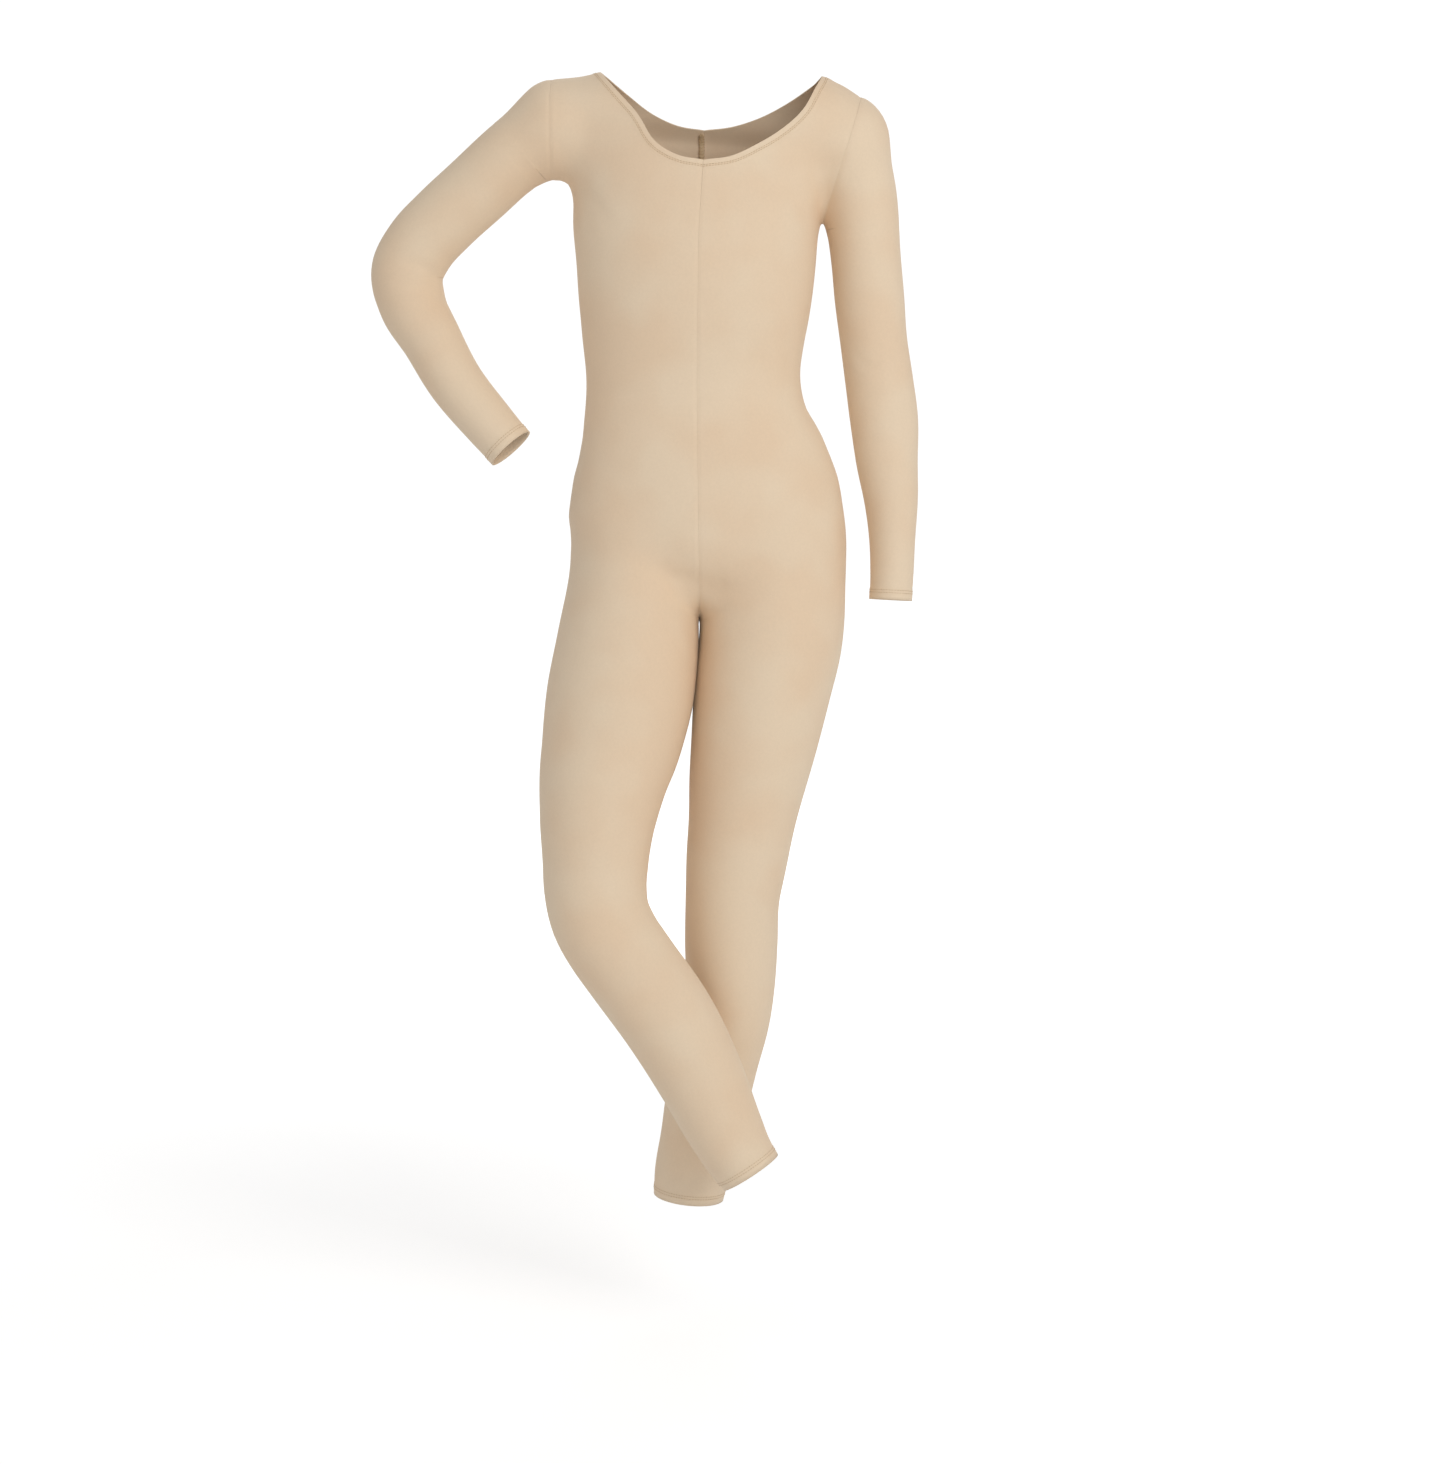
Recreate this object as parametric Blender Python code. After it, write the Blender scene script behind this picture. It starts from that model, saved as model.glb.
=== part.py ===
# Long-sleeved, ankle-length stretch unitard, hollow and in the pose that it is worn in: one sleeve
# bent, the other hanging, and the two leg hems crossed. Metres, +Z up, the front faces -Y, and +X is
# the garment's left. The origin is the middle of the neck opening, level with the shoulder seams,
# where the garment is held up.
#
# The cloth follows a plain, general figure. Each limb of that figure is a chain of oval sections,
# a row to a section, and the limbs run into each other with soft fillets. The pieces of cloth are
# grids laid on that figure's skin from seam to seam, and each one's wall is set inwards from it.

from typing import NamedTuple

import bpy
import numpy as np

MM = 0.001

# Cloth: wall thickness, half the gap left along a seam, and the share of a piece's width that its
# sewn edge takes, where the grid is closer so that both sides of a seam stand the same way.
WALL = 1.5 * MM
SEAM_HALF_GAP = 0.2 * MM
SEWN_EDGE = 0.03

# Figure: how softly its limbs run into each other.
SHOULDER_BLEND = 22 * MM
UNDERARM_BLEND = 16 * MM
YOKE_BLEND = 40 * MM
HIP_BLEND = 20 * MM
UNDERARM_TOP_Z = -90 * MM
UNDERARM_BASE_Z = -150 * MM

# Search for the skin: the distance between two readings, the longest step along a ray, the longest
# move of a point that settles, and the slowest rise.
PROBE = 0.3 * MM
LONGEST_STEP = 4 * MM
LONGEST_MOVE = 10 * MM
SLOWEST_RATE = 0.08

# A point this close to an armhole's plane, or to the line of the centre seams, is on that seam.
ON_SEAM = 1e-6


class Section(NamedTuple):
    """One oval section of a limb, in millimetres: its middle, and its half sizes across and deep."""

    x: float
    y: float
    z: float
    across: float
    deep: float


TORSO_SECTIONS = [
    Section(-10, 5, -80, 103, 72),
    Section(-13, 2, -120, 126, 84),
    Section(-16, -1, -160, 128, 91),
    Section(-16, -3, -204, 125, 94),
    Section(-17.5, -2, -250, 121, 91),
    Section(-19, 0, -287, 116, 86),
    Section(-19, 1, -329, 112, 80),
    Section(-17, 2, -371, 118, 82),
    Section(-12, 4, -412, 132.5, 89),
    Section(-7, 7, -454, 140.5, 94),
    Section(-5.5, 8, -482, 138, 93),
    Section(-7, 9, -506, 129, 88),
    Section(-10, 9, -528, 113, 77),
    Section(-13, 8, -546, 92, 60),
]
# The yoke runs from shoulder to shoulder, so its sections stand upright: across is their height.
YOKE_SECTIONS = [
    Section(-158, 4, -68, 44, 47),
    Section(-116, 4, -64, 52, 57),
    Section(-55, 4, -64, 62, 66),
    Section(0, 4, -64, 64, 68),
    Section(55, 4, -66, 62, 66),
    Section(115, 4, -72, 53, 57),
    Section(138, 4, -80, 46, 48),
]
YOKE_Y = YOKE_SECTIONS[0].y * MM
RIGHT_ARM_SECTIONS = [
    Section(-160, 4, -66, 44, 48),
    Section(-211, 8, -101, 38.6, 43),
    Section(-245, 13, -131, 38, 41),
    Section(-280, 18, -162, 37.7, 40),
    Section(-305, 22, -188, 37.8, 39.5),
    Section(-319.5, 24, -216, 38, 39),
    Section(-315, 22, -248, 35.5, 37.5),
    Section(-294, 16, -287, 31.5, 35),
    Section(-270, 8, -329, 29.4, 33),
    Section(-234, -2, -373, 27.3, 29),
    Section(-210, -8, -400, 25.7, 27),
    Section(-188, -13, -424, 24.5, 26),
]
LEFT_ARM_SECTIONS = [
    Section(139, 4, -88, 43, 47),
    Section(152, 5, -130, 40, 46),
    Section(161.5, 6, -204, 36.5, 42),
    Section(165.5, 9, -245, 36.5, 41),
    Section(170, 11, -287, 35.2, 39),
    Section(176, 12, -329, 35.7, 38),
    Section(181.5, 10, -371, 35.8, 38),
    Section(184.5, 6, -413, 32.6, 37),
    Section(188.8, 1, -454, 28.4, 34),
    Section(190, -4, -496, 24.2, 31),
    Section(189.5, -8, -538, 22.6, 29),
    Section(188.3, -10, -559, 22.1, 28),
    Section(187, -12, -590, 22, 28),
]
RIGHT_LEG_SECTIONS = [
    Section(-77, 9, -450, 60, 70),
    Section(-80.5, 8, -490, 66.5, 80),
    Section(-82, 5, -530, 67.5, 83),
    Section(-88.5, -6, -601, 74, 83),
    Section(-97.5, -14, -664, 77, 83),
    Section(-105, -20, -706, 74, 79),
    Section(-114.5, -29, -749, 67.5, 74),
    Section(-120, -36, -791, 61, 68),
    Section(-122, -41, -831, 56, 63),
    Section(-122, -46, -862, 54, 59),
    Section(-117, -50, -890, 52.5, 56),
    Section(-104, -54, -915, 51.5, 54),
    Section(-88, -57, -938, 51, 53),
    Section(-44, -65, -999, 50, 52),
    Section(-11, -72, -1058, 45.8, 48),
    Section(10.5, -75, -1104, 41, 43),
    Section(29, -78, -1139, 36.4, 39),
    Section(41.5, -80, -1157, 33.5, 37),
    Section(59, -83, -1187, 31, 36),
]
LEFT_LEG_SECTIONS = [
    Section(64, 10, -450, 64, 70),
    Section(66, 9, -490, 74, 80),
    Section(65, 8, -545, 76.5, 83),
    Section(63, 7, -603, 75.3, 84),
    Section(55.5, 7, -647, 72.5, 82),
    Section(45, 9, -711, 67, 76),
    Section(38, 11, -753, 62.4, 70),
    Section(32, 13, -797, 57, 64),
    Section(26.5, 15, -840, 54, 59),
    Section(22, 18, -884, 50.3, 56),
    Section(21, 22, -927, 50, 54),
    Section(20, 26, -971, 48.4, 54),
    Section(15, 30, -1014, 47.5, 53),
    Section(5, 34, -1058, 46, 50),
    Section(-5, 37, -1103, 45, 46),
    Section(-14, 39, -1148, 42, 42),
    Section(-23, 41, -1193, 40, 39),
    Section(-26, 42, -1219, 37, 38),
    Section(-28, 43, -1245, 36, 37),
]


def rows_along(rows, places):
    """Rows read from a smooth curve through the given rows, at places from 0 to 1 along its length."""
    rows = np.asarray(rows, float)
    steps = np.linalg.norm(np.diff(rows[:, :3], axis=0), axis=1)
    knots = np.concatenate([[0.0], np.cumsum(steps)])
    slopes = np.gradient(rows, knots, axis=0)
    at = np.asarray(places, float) * knots[-1]
    i = np.clip(np.searchsorted(knots, at, side="right") - 1, 0, len(knots) - 2)
    span = (knots[i + 1] - knots[i])[:, None]
    s = (at - knots[i])[:, None] / span
    blend = s * s * (3 - 2 * s)
    lead_in = s * (1 - s) ** 2 * span
    lead_out = s * s * (1 - s) * span
    return (1 - blend) * rows[i] + blend * rows[i + 1] + lead_in * slopes[i] - lead_out * slopes[i + 1]


def unit(vectors):
    """The vectors at length 1."""
    return vectors / np.linalg.norm(vectors, axis=-1, keepdims=True)


class Limb:
    """A chain of oval sections, read at even steps along a smooth curve through them."""

    def __init__(self, sections, count, cap, power=2.0):
        rows = rows_along(np.array(sections) * MM, np.linspace(0, 1, count))
        self.middle = rows[:, :3]
        self.half = rows[:, 3:]
        self.cap = cap
        self.power = power
        self.along = unit(np.gradient(self.middle, axis=0))
        self.across = unit(np.cross(self.along, (0.0, 1.0, 0.0)))
        self.deep = np.cross(self.across, self.along)

    def distance(self, points):
        """How far each point lies outside the limb's skin, measured away from its middle line."""
        gap = (self.middle**2).sum(1) - 2 * points @ self.middle.T
        i = np.argmin(gap, axis=1)
        i = i - (((points - self.middle[i]) * self.along[i]).sum(1) < 0)
        i = np.clip(i, 0, len(self.middle) - 2)
        step = self.middle[i + 1] - self.middle[i]
        s = ((points - self.middle[i]) * step).sum(1) / (step**2).sum(1)
        s = np.clip(s, 0, 1)[:, None]
        offset = points - self.middle[i] - s * step
        half = self.half[i] + s * (self.half[i + 1] - self.half[i])
        parts = [
            (offset * (self.across[i] + s * (self.across[i + 1] - self.across[i]))).sum(1) / half[:, 0],
            (offset * (self.deep[i] + s * (self.deep[i + 1] - self.deep[i]))).sum(1) / half[:, 1],
            (offset * (self.along[i] + s * (self.along[i + 1] - self.along[i]))).sum(1) / self.cap,
        ]
        tiny = 1e-6
        share = sum(np.abs(part) ** self.power for part in parts) ** (1 / self.power)
        length = np.maximum(np.linalg.norm(offset, axis=1), tiny)
        return length - length / np.maximum(share, tiny / half[:, 1])


TORSO = Limb(TORSO_SECTIONS, 60, cap=22 * MM, power=2.25)
YOKE = Limb(YOKE_SECTIONS, 40, cap=40 * MM)
RIGHT_ARM = Limb(RIGHT_ARM_SECTIONS, 60, cap=40 * MM)
LEFT_ARM = Limb(LEFT_ARM_SECTIONS, 60, cap=40 * MM)
RIGHT_LEG = Limb(RIGHT_LEG_SECTIONS, 80, cap=40 * MM)
LEFT_LEG = Limb(LEFT_LEG_SECTIONS, 80, cap=40 * MM)
# The legs nearly touch below the crotch, so a piece of cloth there reads the figure with its own leg.
BOTH_LEGS = (RIGHT_LEG, LEFT_LEG)


def ease(x, start, end):
    """0 before start, 1 after end, and a smooth step between them."""
    s = np.clip((x - start) / (end - start), 0, 1)
    return s * s * (3 - 2 * s)


def fillet(a, b, blend):
    """The smaller of two distances, with the corner between them rounded over the blend's width."""
    overlap = np.maximum(blend - np.abs(a - b), 0) / blend
    return np.minimum(a, b) - overlap**2 * blend / 4


def figure(points, legs):
    """How far each point lies outside the figure's skin, with the given legs: below 0 inside it."""
    arm_blend = UNDERARM_BLEND + (SHOULDER_BLEND - UNDERARM_BLEND) * ease(
        points[:, 2], UNDERARM_BASE_Z, UNDERARM_TOP_Z
    )
    trunk = fillet(TORSO.distance(points), YOKE.distance(points), YOKE_BLEND)
    trunk = fillet(trunk, RIGHT_ARM.distance(points), arm_blend)
    trunk = fillet(trunk, LEFT_ARM.distance(points), arm_blend)
    return np.min([fillet(trunk, leg.distance(points), HIP_BLEND) for leg in legs], axis=0)


def skin(starts, directions, legs=BOTH_LEGS):
    """Where rays that start inside the figure first reach its skin."""
    starts, directions = np.broadcast_arrays(np.asarray(starts, float), unit(directions))
    reach = np.zeros(len(starts))
    for _ in range(20):
        reach -= 0.7 * figure(starts + directions * reach[:, None], legs)
    for _ in range(8):
        here = figure(starts + directions * reach[:, None], legs)
        ahead = figure(starts + directions * (reach + PROBE)[:, None], legs)
        rate = np.maximum((ahead - here) / PROBE, SLOWEST_RATE)
        reach -= np.clip(here / rate, -LONGEST_STEP, LONGEST_STEP)
    return starts + directions * reach[:, None]


def slope(points, legs=BOTH_LEGS):
    """Which way, and how fast, the figure's skin is left behind at each point."""
    rises = [figure(points + PROBE * axis, legs) - figure(points - PROBE * axis, legs) for axis in np.eye(3)]
    return np.stack(rises, axis=1) / (2 * PROBE)


def settle(points, legs=BOTH_LEGS):
    """Points near the figure moved onto its skin, each along the skin's own slope."""
    for _ in range(12):
        away = slope(points, legs)
        move = -0.8 * (figure(points, legs) / (away**2).sum(1))[:, None] * away
        length = np.linalg.norm(move, axis=1, keepdims=True)
        points = points + move * np.minimum(1, LONGEST_MOVE / np.maximum(length, LONGEST_MOVE))
    return points


# Grid of a body piece: columns run from the centre seam (0) to the side seam (1), closer at both
# sewn edges. The neck point, where the neckline meets the shoulder seam, is on one of the columns.
WIDE_COLUMNS = 8
COLUMNS = np.concatenate([[0.0], np.linspace(SEWN_EDGE, 1 - SEWN_EDGE, WIDE_COLUMNS + 1), [1.0]])
NECK_COLUMN = 7

# Centre seams: how far they lie from the origin's plane at each height, in millimetres.
CENTRE_SEAM = np.array([(-8, -100), (-13, -180), (-15, -330), (-13, -500), (-13, -600)]) * MM

# Neckline as seen from the front and from behind, in millimetres: x and z of its points, from the
# centre seam out to the neck point on each side. The neck points lie on the top of the shoulder.
FRONT_NECKLINE = {
    "right": [(-8, -105), (-34, -100), (-57, -86), (-75, -58), (-95, -35), (-109, -19)],
    "left": [(-8, -105), (20, -101), (46, -89), (72, -73), (93, -54), (108, -28)],
}
BACK_NECKLINE = {
    "right": [(-8, -66), (-34, -62), (-62, -50), (-88, -31), (-106, -17)],
    "left": [(-8, -66), (20, -63), (50, -54), (82, -38), (104, -24)],
}
NECK_POINT_X = {"right": -116, "left": 115}
OUTLINE_STEPS = 24
SHOULDER_STEPS = 8

# Armholes: x and z of the middle of each one, and the lean of its plane from upright, in millimetres
# and degrees. The sleeve's first rings fan out about a hinge that lies just below the underarm. The
# band beside the armhole's edge lies where rays tilted from that plane towards the body reach the skin.
ARMHOLE_MIDDLE = {"right": (-166, -70), "left": (136, -100)}
ARMHOLE_LEAN = {"right": 0.0, "left": 17.0}
HINGE_DROP = 8 * MM
ARMHOLE_BAND_TILT = np.radians(2.2)

# Rows of a body piece, as heights in millimetres. The first row lies below the underarm, which is
# higher on the side of the bent sleeve. From the seat down, the rows close in to the crotch and then
# go round each leg, and the side seam goes over from the torso's middle to the leg's.
FIRST_ROW_Z = -176
SEAT_Z = -500
TRUNK_ROWS = 11
SIDE_LIFT = {"right": 26, "left": -34}
LIFT_ENDS_Z = -330
# Rows between the first row (0) and the underarm (1), where the cloth turns down from the armhole, and
# the share of the yoke's height at the centre seam that these rows take.
UNDERARM_ROWS = np.array([0.4, 0.74, 0.92])
UNDERARM_SHARE = 0.14
CROTCH_ANGLES = (30, 60, 90)
# Where the rows between the crotch (0) and the top of the leg (1) meet the inseam.
INSEAM_SHARES = np.array([0.1, 0.25, 0.42, 0.61, 0.8])
LEG_TOP_Z = -692
LEG_SIDE_Z = -640
LEG_ROWS = 18

SIDES = {"right": -1.0, "left": 1.0}
FACES = {"front": -1.0, "back": 1.0}
LEGS = {"right": RIGHT_LEG, "left": LEFT_LEG}
ARMS = {"right": RIGHT_ARM, "left": LEFT_ARM}
LEG_HEMS = {"right": -1157, "left": -1213}
CUFFS = {"right": -400, "left": -559}
SLEEVE_ROWS = 20
SLEEVE_FAN = np.array([0.0, 0.09, 0.22, 0.4, 0.6, 0.8, 1.0])
SLEEVE_START_Z = {"right": -112, "left": -200}


def middle_at(limb, z):
    """Middle of an upright limb at the given heights."""
    order = np.argsort(limb.middle[:, 2])
    heights = limb.middle[order, 2]
    return np.stack([np.interp(z, heights, limb.middle[order, k]) for k in range(3)], axis=-1)


def centre_seam_x(z):
    """x of the centre seams at the given heights."""
    order = np.argsort(CENTRE_SEAM[:, 1])
    return np.interp(z, CENTRE_SEAM[order, 1], CENTRE_SEAM[order, 0])


def centre_seam_points(z, face):
    """Points of the centre front or centre back seam at the given heights."""
    z = np.asarray(z, float)
    starts = np.stack([centre_seam_x(z), middle_at(TORSO, z)[:, 1], z], axis=1)
    return skin(starts, np.array([[0.0, FACES[face], 0.0]]))


def crotch_points(face):
    """Points of the centre seam from the seat down and under to the crotch."""
    start = np.array([centre_seam_x(SEAT_Z * MM), middle_at(TORSO, SEAT_Z * MM)[1], SEAT_Z * MM])
    turn = np.radians(CROTCH_ANGLES)
    rays = np.stack([0 * turn, FACES[face] * np.cos(turn), -np.sin(turn)], axis=1)
    return skin(start[None], rays)


def patch(top, base, centre, side, steps, legs=BOTH_LEGS):
    """Rows between two rows and two edges, blended from all four and settled on the figure."""
    u = COLUMNS[None, :, None]
    v = steps[:, None, None]
    grid = (1 - v) * top + v * base + (1 - u) * centre[:, None] + u * side[:, None]
    grid = grid - (1 - u) * ((1 - v) * top[0] + v * base[0]) - u * ((1 - v) * top[-1] + v * base[-1])
    inner = grid[1:-1, 1:-1]
    grid[1:-1, 1:-1] = settle(inner.reshape(-1, 3), legs).reshape(inner.shape)
    return grid


def body_row(middle, out, front, face, seam, legs=BOTH_LEGS):
    """One row of a body piece: rays in the plane of out and front, tilted at the seam end to meet it."""
    up = np.cross(out, front)
    toward = unit(seam - middle)
    flat = np.array([toward @ front, toward @ out])
    seam_angle = np.arctan2(flat[1], flat[0])
    if face == "back" and seam_angle < 0.5 * np.pi:
        seam_angle += 2 * np.pi
    angles = seam_angle + (0.5 * np.pi - seam_angle) * COLUMNS
    tilt = (toward @ up) / np.linalg.norm(flat) * (1 - COLUMNS) ** 2
    rays = np.cos(angles)[:, None] * front + np.sin(angles)[:, None] * out + tilt[:, None] * up
    return skin(middle[None], rays, legs)


def trunk_rows(side, face):
    """Rows from below the underarm to the seat."""
    out = np.array([SIDES[side], 0.0, 0.0])
    front = np.array([0.0, -1.0, 0.0])
    seam_z = np.linspace(FIRST_ROW_Z, SEAT_Z, TRUNK_ROWS) * MM
    heights = seam_z + SIDE_LIFT[side] * MM * ease(seam_z, LIFT_ENDS_Z * MM, FIRST_ROW_Z * MM)
    middles = middle_at(TORSO, heights)
    middles[:, 2] = heights
    seams = centre_seam_points(seam_z, face)
    return np.array([body_row(middle, out, front, face, seam) for middle, seam in zip(middles, seams)])


def seat_rows(side, face, above, below):
    """Rows from the seat to the leg: their centre end turns under to the crotch, then follows the inseam."""
    leg = LEGS[side]
    under = crotch_points(face)
    heights = under[-1, 2] + (below[0, 2] - under[-1, 2]) * INSEAM_SHARES
    inseam = skin(middle_at(leg, heights), np.array([[-SIDES[side], 0.0, 0.0]]), (leg,))
    centre = np.concatenate([above[:1], under, inseam, below[:1]])
    steps = np.linspace(0, 1, len(centre))
    heights = above[-1, 2] + (below[-1, 2] - above[-1, 2]) * steps
    share = ease(heights, SEAT_Z * MM, LEG_SIDE_Z * MM)[:, None]
    middles = (1 - share) * middle_at(TORSO, heights) + share * middle_at(leg, heights)
    middles[:, 2] = heights
    edge = skin(middles, np.array([[SIDES[side], 0.0, 0.0]]))
    edge[0] = above[-1]
    edge[-1] = below[-1]
    return patch(above, below, centre, edge, steps, (leg,))


def leg_rows(side, face):
    """Rows from below the crotch to the leg hem, square with the leg."""
    leg = LEGS[side]
    top = LEG_TOP_Z * MM
    hem = LEG_HEMS[side] * MM
    places = np.linspace(0, 1, len(leg.middle))
    ends = np.interp([-top, -hem], -leg.middle[:, 2], places)
    rows = []
    for place in np.linspace(ends[0], ends[1], LEG_ROWS):
        i = np.clip(np.searchsorted(places, place), 1, len(places) - 1)
        s = (place - places[i - 1]) / (places[i] - places[i - 1])
        middle = leg.middle[i - 1] + s * (leg.middle[i] - leg.middle[i - 1])
        out = SIDES[side] * unit(leg.across[i - 1] + s * (leg.across[i] - leg.across[i - 1]))
        front = -unit(leg.deep[i - 1] + s * (leg.deep[i] - leg.deep[i - 1]))
        rows.append(body_row(middle, out, front, face, middle - out, (leg,)))
    return np.array(rows)


def armhole_frame(side):
    """Middle of an armhole, and the directions in its plane to the underarm and to the front."""
    x, z = ARMHOLE_MIDDLE[side]
    lean = np.radians(ARMHOLE_LEAN[side])
    middle = np.array([x * MM, YOKE_Y, z * MM])
    under = np.array([-SIDES[side] * np.sin(lean), 0.0, -np.cos(lean)])
    return middle, under, np.array([0.0, -1.0, 0.0])


def toward_body(side):
    """The direction square with an armhole's plane, on the body's side of it."""
    _, under, front = armhole_frame(side)
    return SIDES[side] * np.cross(under, front)


# Rows of the yoke from the underarm (0) to the shoulder seam (1), closer at the sewn edges and where
# the armhole runs up the fold beside the arm.
ARMHOLE_STEPS = np.array([0.0, 0.03, 0.08, 0.15, 0.265, 0.38, 0.5, 0.62, 0.735, 0.85, 0.97, 1.0])


def armhole_edge(side, face):
    """Edge of the armhole from the underarm to the shoulder point, round the front or the back."""
    middle, under, front = armhole_frame(side)
    turn = np.pi * ARMHOLE_STEPS[:, None]
    return skin(middle[None], np.cos(turn) * under - FACES[face] * np.sin(turn) * front)


def armhole_band(side, face):
    """The line just inside the armhole's edge, on the body's side of it."""
    middle, under, front = armhole_frame(side)
    turn = np.pi * ARMHOLE_STEPS[:, None]
    turn[0] = turn[1] / 2
    rays = np.cos(turn) * under - FACES[face] * np.sin(turn) * front
    return skin(middle[None], rays + np.tan(ARMHOLE_BAND_TILT) * toward_body(side))


def top_edge(side, face):
    """Top edge of a body piece: the neckline from the centre seam to the neck point, then the shoulder."""
    outline = (FRONT_NECKLINE if face == "front" else BACK_NECKLINE)[side]
    flat = np.array([(x, 0, z) for x, z in outline]) * MM
    flat = rows_along(flat, np.linspace(0, 1, OUTLINE_STEPS))
    starts = np.stack([flat[:, 0], 0 * flat[:, 0] + YOKE_Y, flat[:, 2]], axis=1)
    neckline = skin(starts, np.array([[0.0, FACES[face], 0.0]]))
    shoulder_end = armhole_edge(side, face)[-1]
    xs = np.linspace(NECK_POINT_X[side] * MM, shoulder_end[0], SHOULDER_STEPS)
    yoke_z = np.interp(xs, YOKE.middle[:, 0], YOKE.middle[:, 2])
    ridge = skin(np.stack([xs, 0 * xs + YOKE_Y, yoke_z], axis=1), np.array([[0.0, 0.0, 1.0]]))
    ridge[-1] = shoulder_end
    neckline = np.concatenate([neckline, ridge[:1]])
    neck_share = COLUMNS[NECK_COLUMN]
    neck = rows_along(neckline, COLUMNS[: NECK_COLUMN + 1] / neck_share)
    shoulder = rows_along(ridge, (COLUMNS[NECK_COLUMN + 1 :] - neck_share) / (1 - neck_share))
    return np.concatenate([neck, shoulder])


def yoke_rows(side, face, first_row):
    """Rows from the first row under the arm up to the neckline and shoulder seam, top row last."""
    armhole = armhole_edge(side, face)
    shares = UNDERARM_ROWS[:, None]
    below = settle((1 - shares) * first_row[-1] + shares * armhole[0])
    side_edge = np.concatenate([first_row[-1:], below, armhole])
    steps = np.concatenate(
        [[0.0], UNDERARM_SHARE * UNDERARM_ROWS, UNDERARM_SHARE + (1 - UNDERARM_SHARE) * ARMHOLE_STEPS]
    )
    top = top_edge(side, face)
    heights = first_row[0, 2] + (top[0, 2] - first_row[0, 2]) * steps
    centre_edge = centre_seam_points(heights, face)
    centre_edge[-1] = top[0]
    grid = patch(first_row, top, centre_edge, side_edge, steps)
    grid[1 + len(UNDERARM_ROWS) : -1, -2] = armhole_band(side, face)[:-1]
    return grid


def body_grid(side, face):
    """Grid of a whole body piece, from the shoulder to the leg hem."""
    trunk = trunk_rows(side, face)
    yoke = yoke_rows(side, face, trunk[0])
    legs = leg_rows(side, face)
    seat = seat_rows(side, face, trunk[-1], legs[0])
    return np.concatenate([yoke[:0:-1], trunk, seat[1:-1], legs])


def sleeve_grid(side):
    """Grid of a sleeve: rings from the armhole to the cuff, each closed round the arm."""
    middle, under, front = armhole_frame(side)
    arm = ARMS[side]
    turn = np.pi * np.concatenate([ARMHOLE_STEPS[:-1], 2 - ARMHOLE_STEPS[:0:-1]])[:, None]
    hinge = skin(middle[None], under[None])[0] + HINGE_DROP * under
    start = np.argmin(np.abs(arm.middle[:, 2] - SLEEVE_START_Z[side] * MM))
    end_under = -SIDES[side] * arm.across[start]
    first_reach = np.linalg.norm(middle - hinge)
    last_reach = np.linalg.norm((arm.middle[start] - hinge)[[0, 2]])
    rings = []
    for share in SLEEVE_FAN:
        toward = unit((1 - share) * under + share * end_under)
        centre = hinge - (first_reach + share * (last_reach - first_reach)) * toward
        rings.append(skin(centre[None], np.cos(turn) * toward + np.sin(turn) * front))
    stop = np.argmin(np.abs(arm.middle[:, 2] - CUFFS[side] * MM))
    for i in np.unique(np.linspace(start, stop, SLEEVE_ROWS).astype(int))[1:]:
        rings.append(
            skin(arm.middle[i][None], -SIDES[side] * np.cos(turn) * arm.across[i] - np.sin(turn) * arm.deep[i])
        )
    return np.array(rings)


def inwards(edge, beside):
    """Directions from the points of an edge into the cloth, square with the edge."""
    along = unit(np.gradient(edge, axis=0))
    inward = beside - edge
    return unit(inward - (inward * along).sum(1)[:, None] * along)


def drawn_in_body(grid, side, face):
    """The grid of a body piece drawn in from its sewn edges by half the seam's gap.

    Where four pieces meet, at the underarm and the crotch, front and back are drawn apart as well.
    """
    drawn = grid.copy()
    underarm = len(ARMHOLE_STEPS) - 1
    below = slice(underarm + 1, None)
    crotch = underarm + len(UNDERARM_ROWS) + TRUNK_ROWS + len(CROTCH_ANGLES)
    drawn[0] += SEAM_HALF_GAP * inwards(grid[0], grid[1])
    drawn[:, 0] += SEAM_HALF_GAP * inwards(grid[:, 0], grid[:, 1])
    drawn[: underarm + 1, -1] += SEAM_HALF_GAP * toward_body(side)
    drawn[below, -1] += SEAM_HALF_GAP * inwards(grid[below, -1], grid[below, -2])
    drawn[underarm, -1, 1] += SEAM_HALF_GAP * FACES[face]
    drawn[crotch, 0, 1] += SEAM_HALF_GAP * FACES[face]
    return drawn


def drawn_in_sleeve(grid, side):
    """The grid of a sleeve drawn in from the armhole by half the seam's gap."""
    drawn = grid.copy()
    drawn[0] -= SEAM_HALF_GAP * toward_body(side)
    return drawn


# Order of a quad's corners that turns it over and keeps its first corner, and so its diagonal.
TURNED_OVER = [0, 3, 2, 1]


def wall_directions(grid, side):
    """Which way is out of the cloth at each point of a grid, read at the seams before it is drawn in.

    Both sides of a seam read the same points, so their edges stand the same way. Along a centre seam
    and an armhole they stand in the seam's plane.
    """
    away = unit(slope(grid.reshape(-1, 3), (LEGS[side],))).reshape(grid.shape)
    on_centre = np.abs(grid[..., 0] - centre_seam_x(grid[..., 2])) < ON_SEAM
    away[on_centre] = unit(slope(grid[on_centre]) * (0.0, 1.0, 1.0))
    middle, _, _ = armhole_frame(side)
    square = toward_body(side)
    on_armhole = np.abs((grid - middle) @ square) < ON_SEAM
    leaning = away[on_armhole]
    away[on_armhole] = unit(leaning - (leaning @ square)[:, None] * square)
    return away


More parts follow.
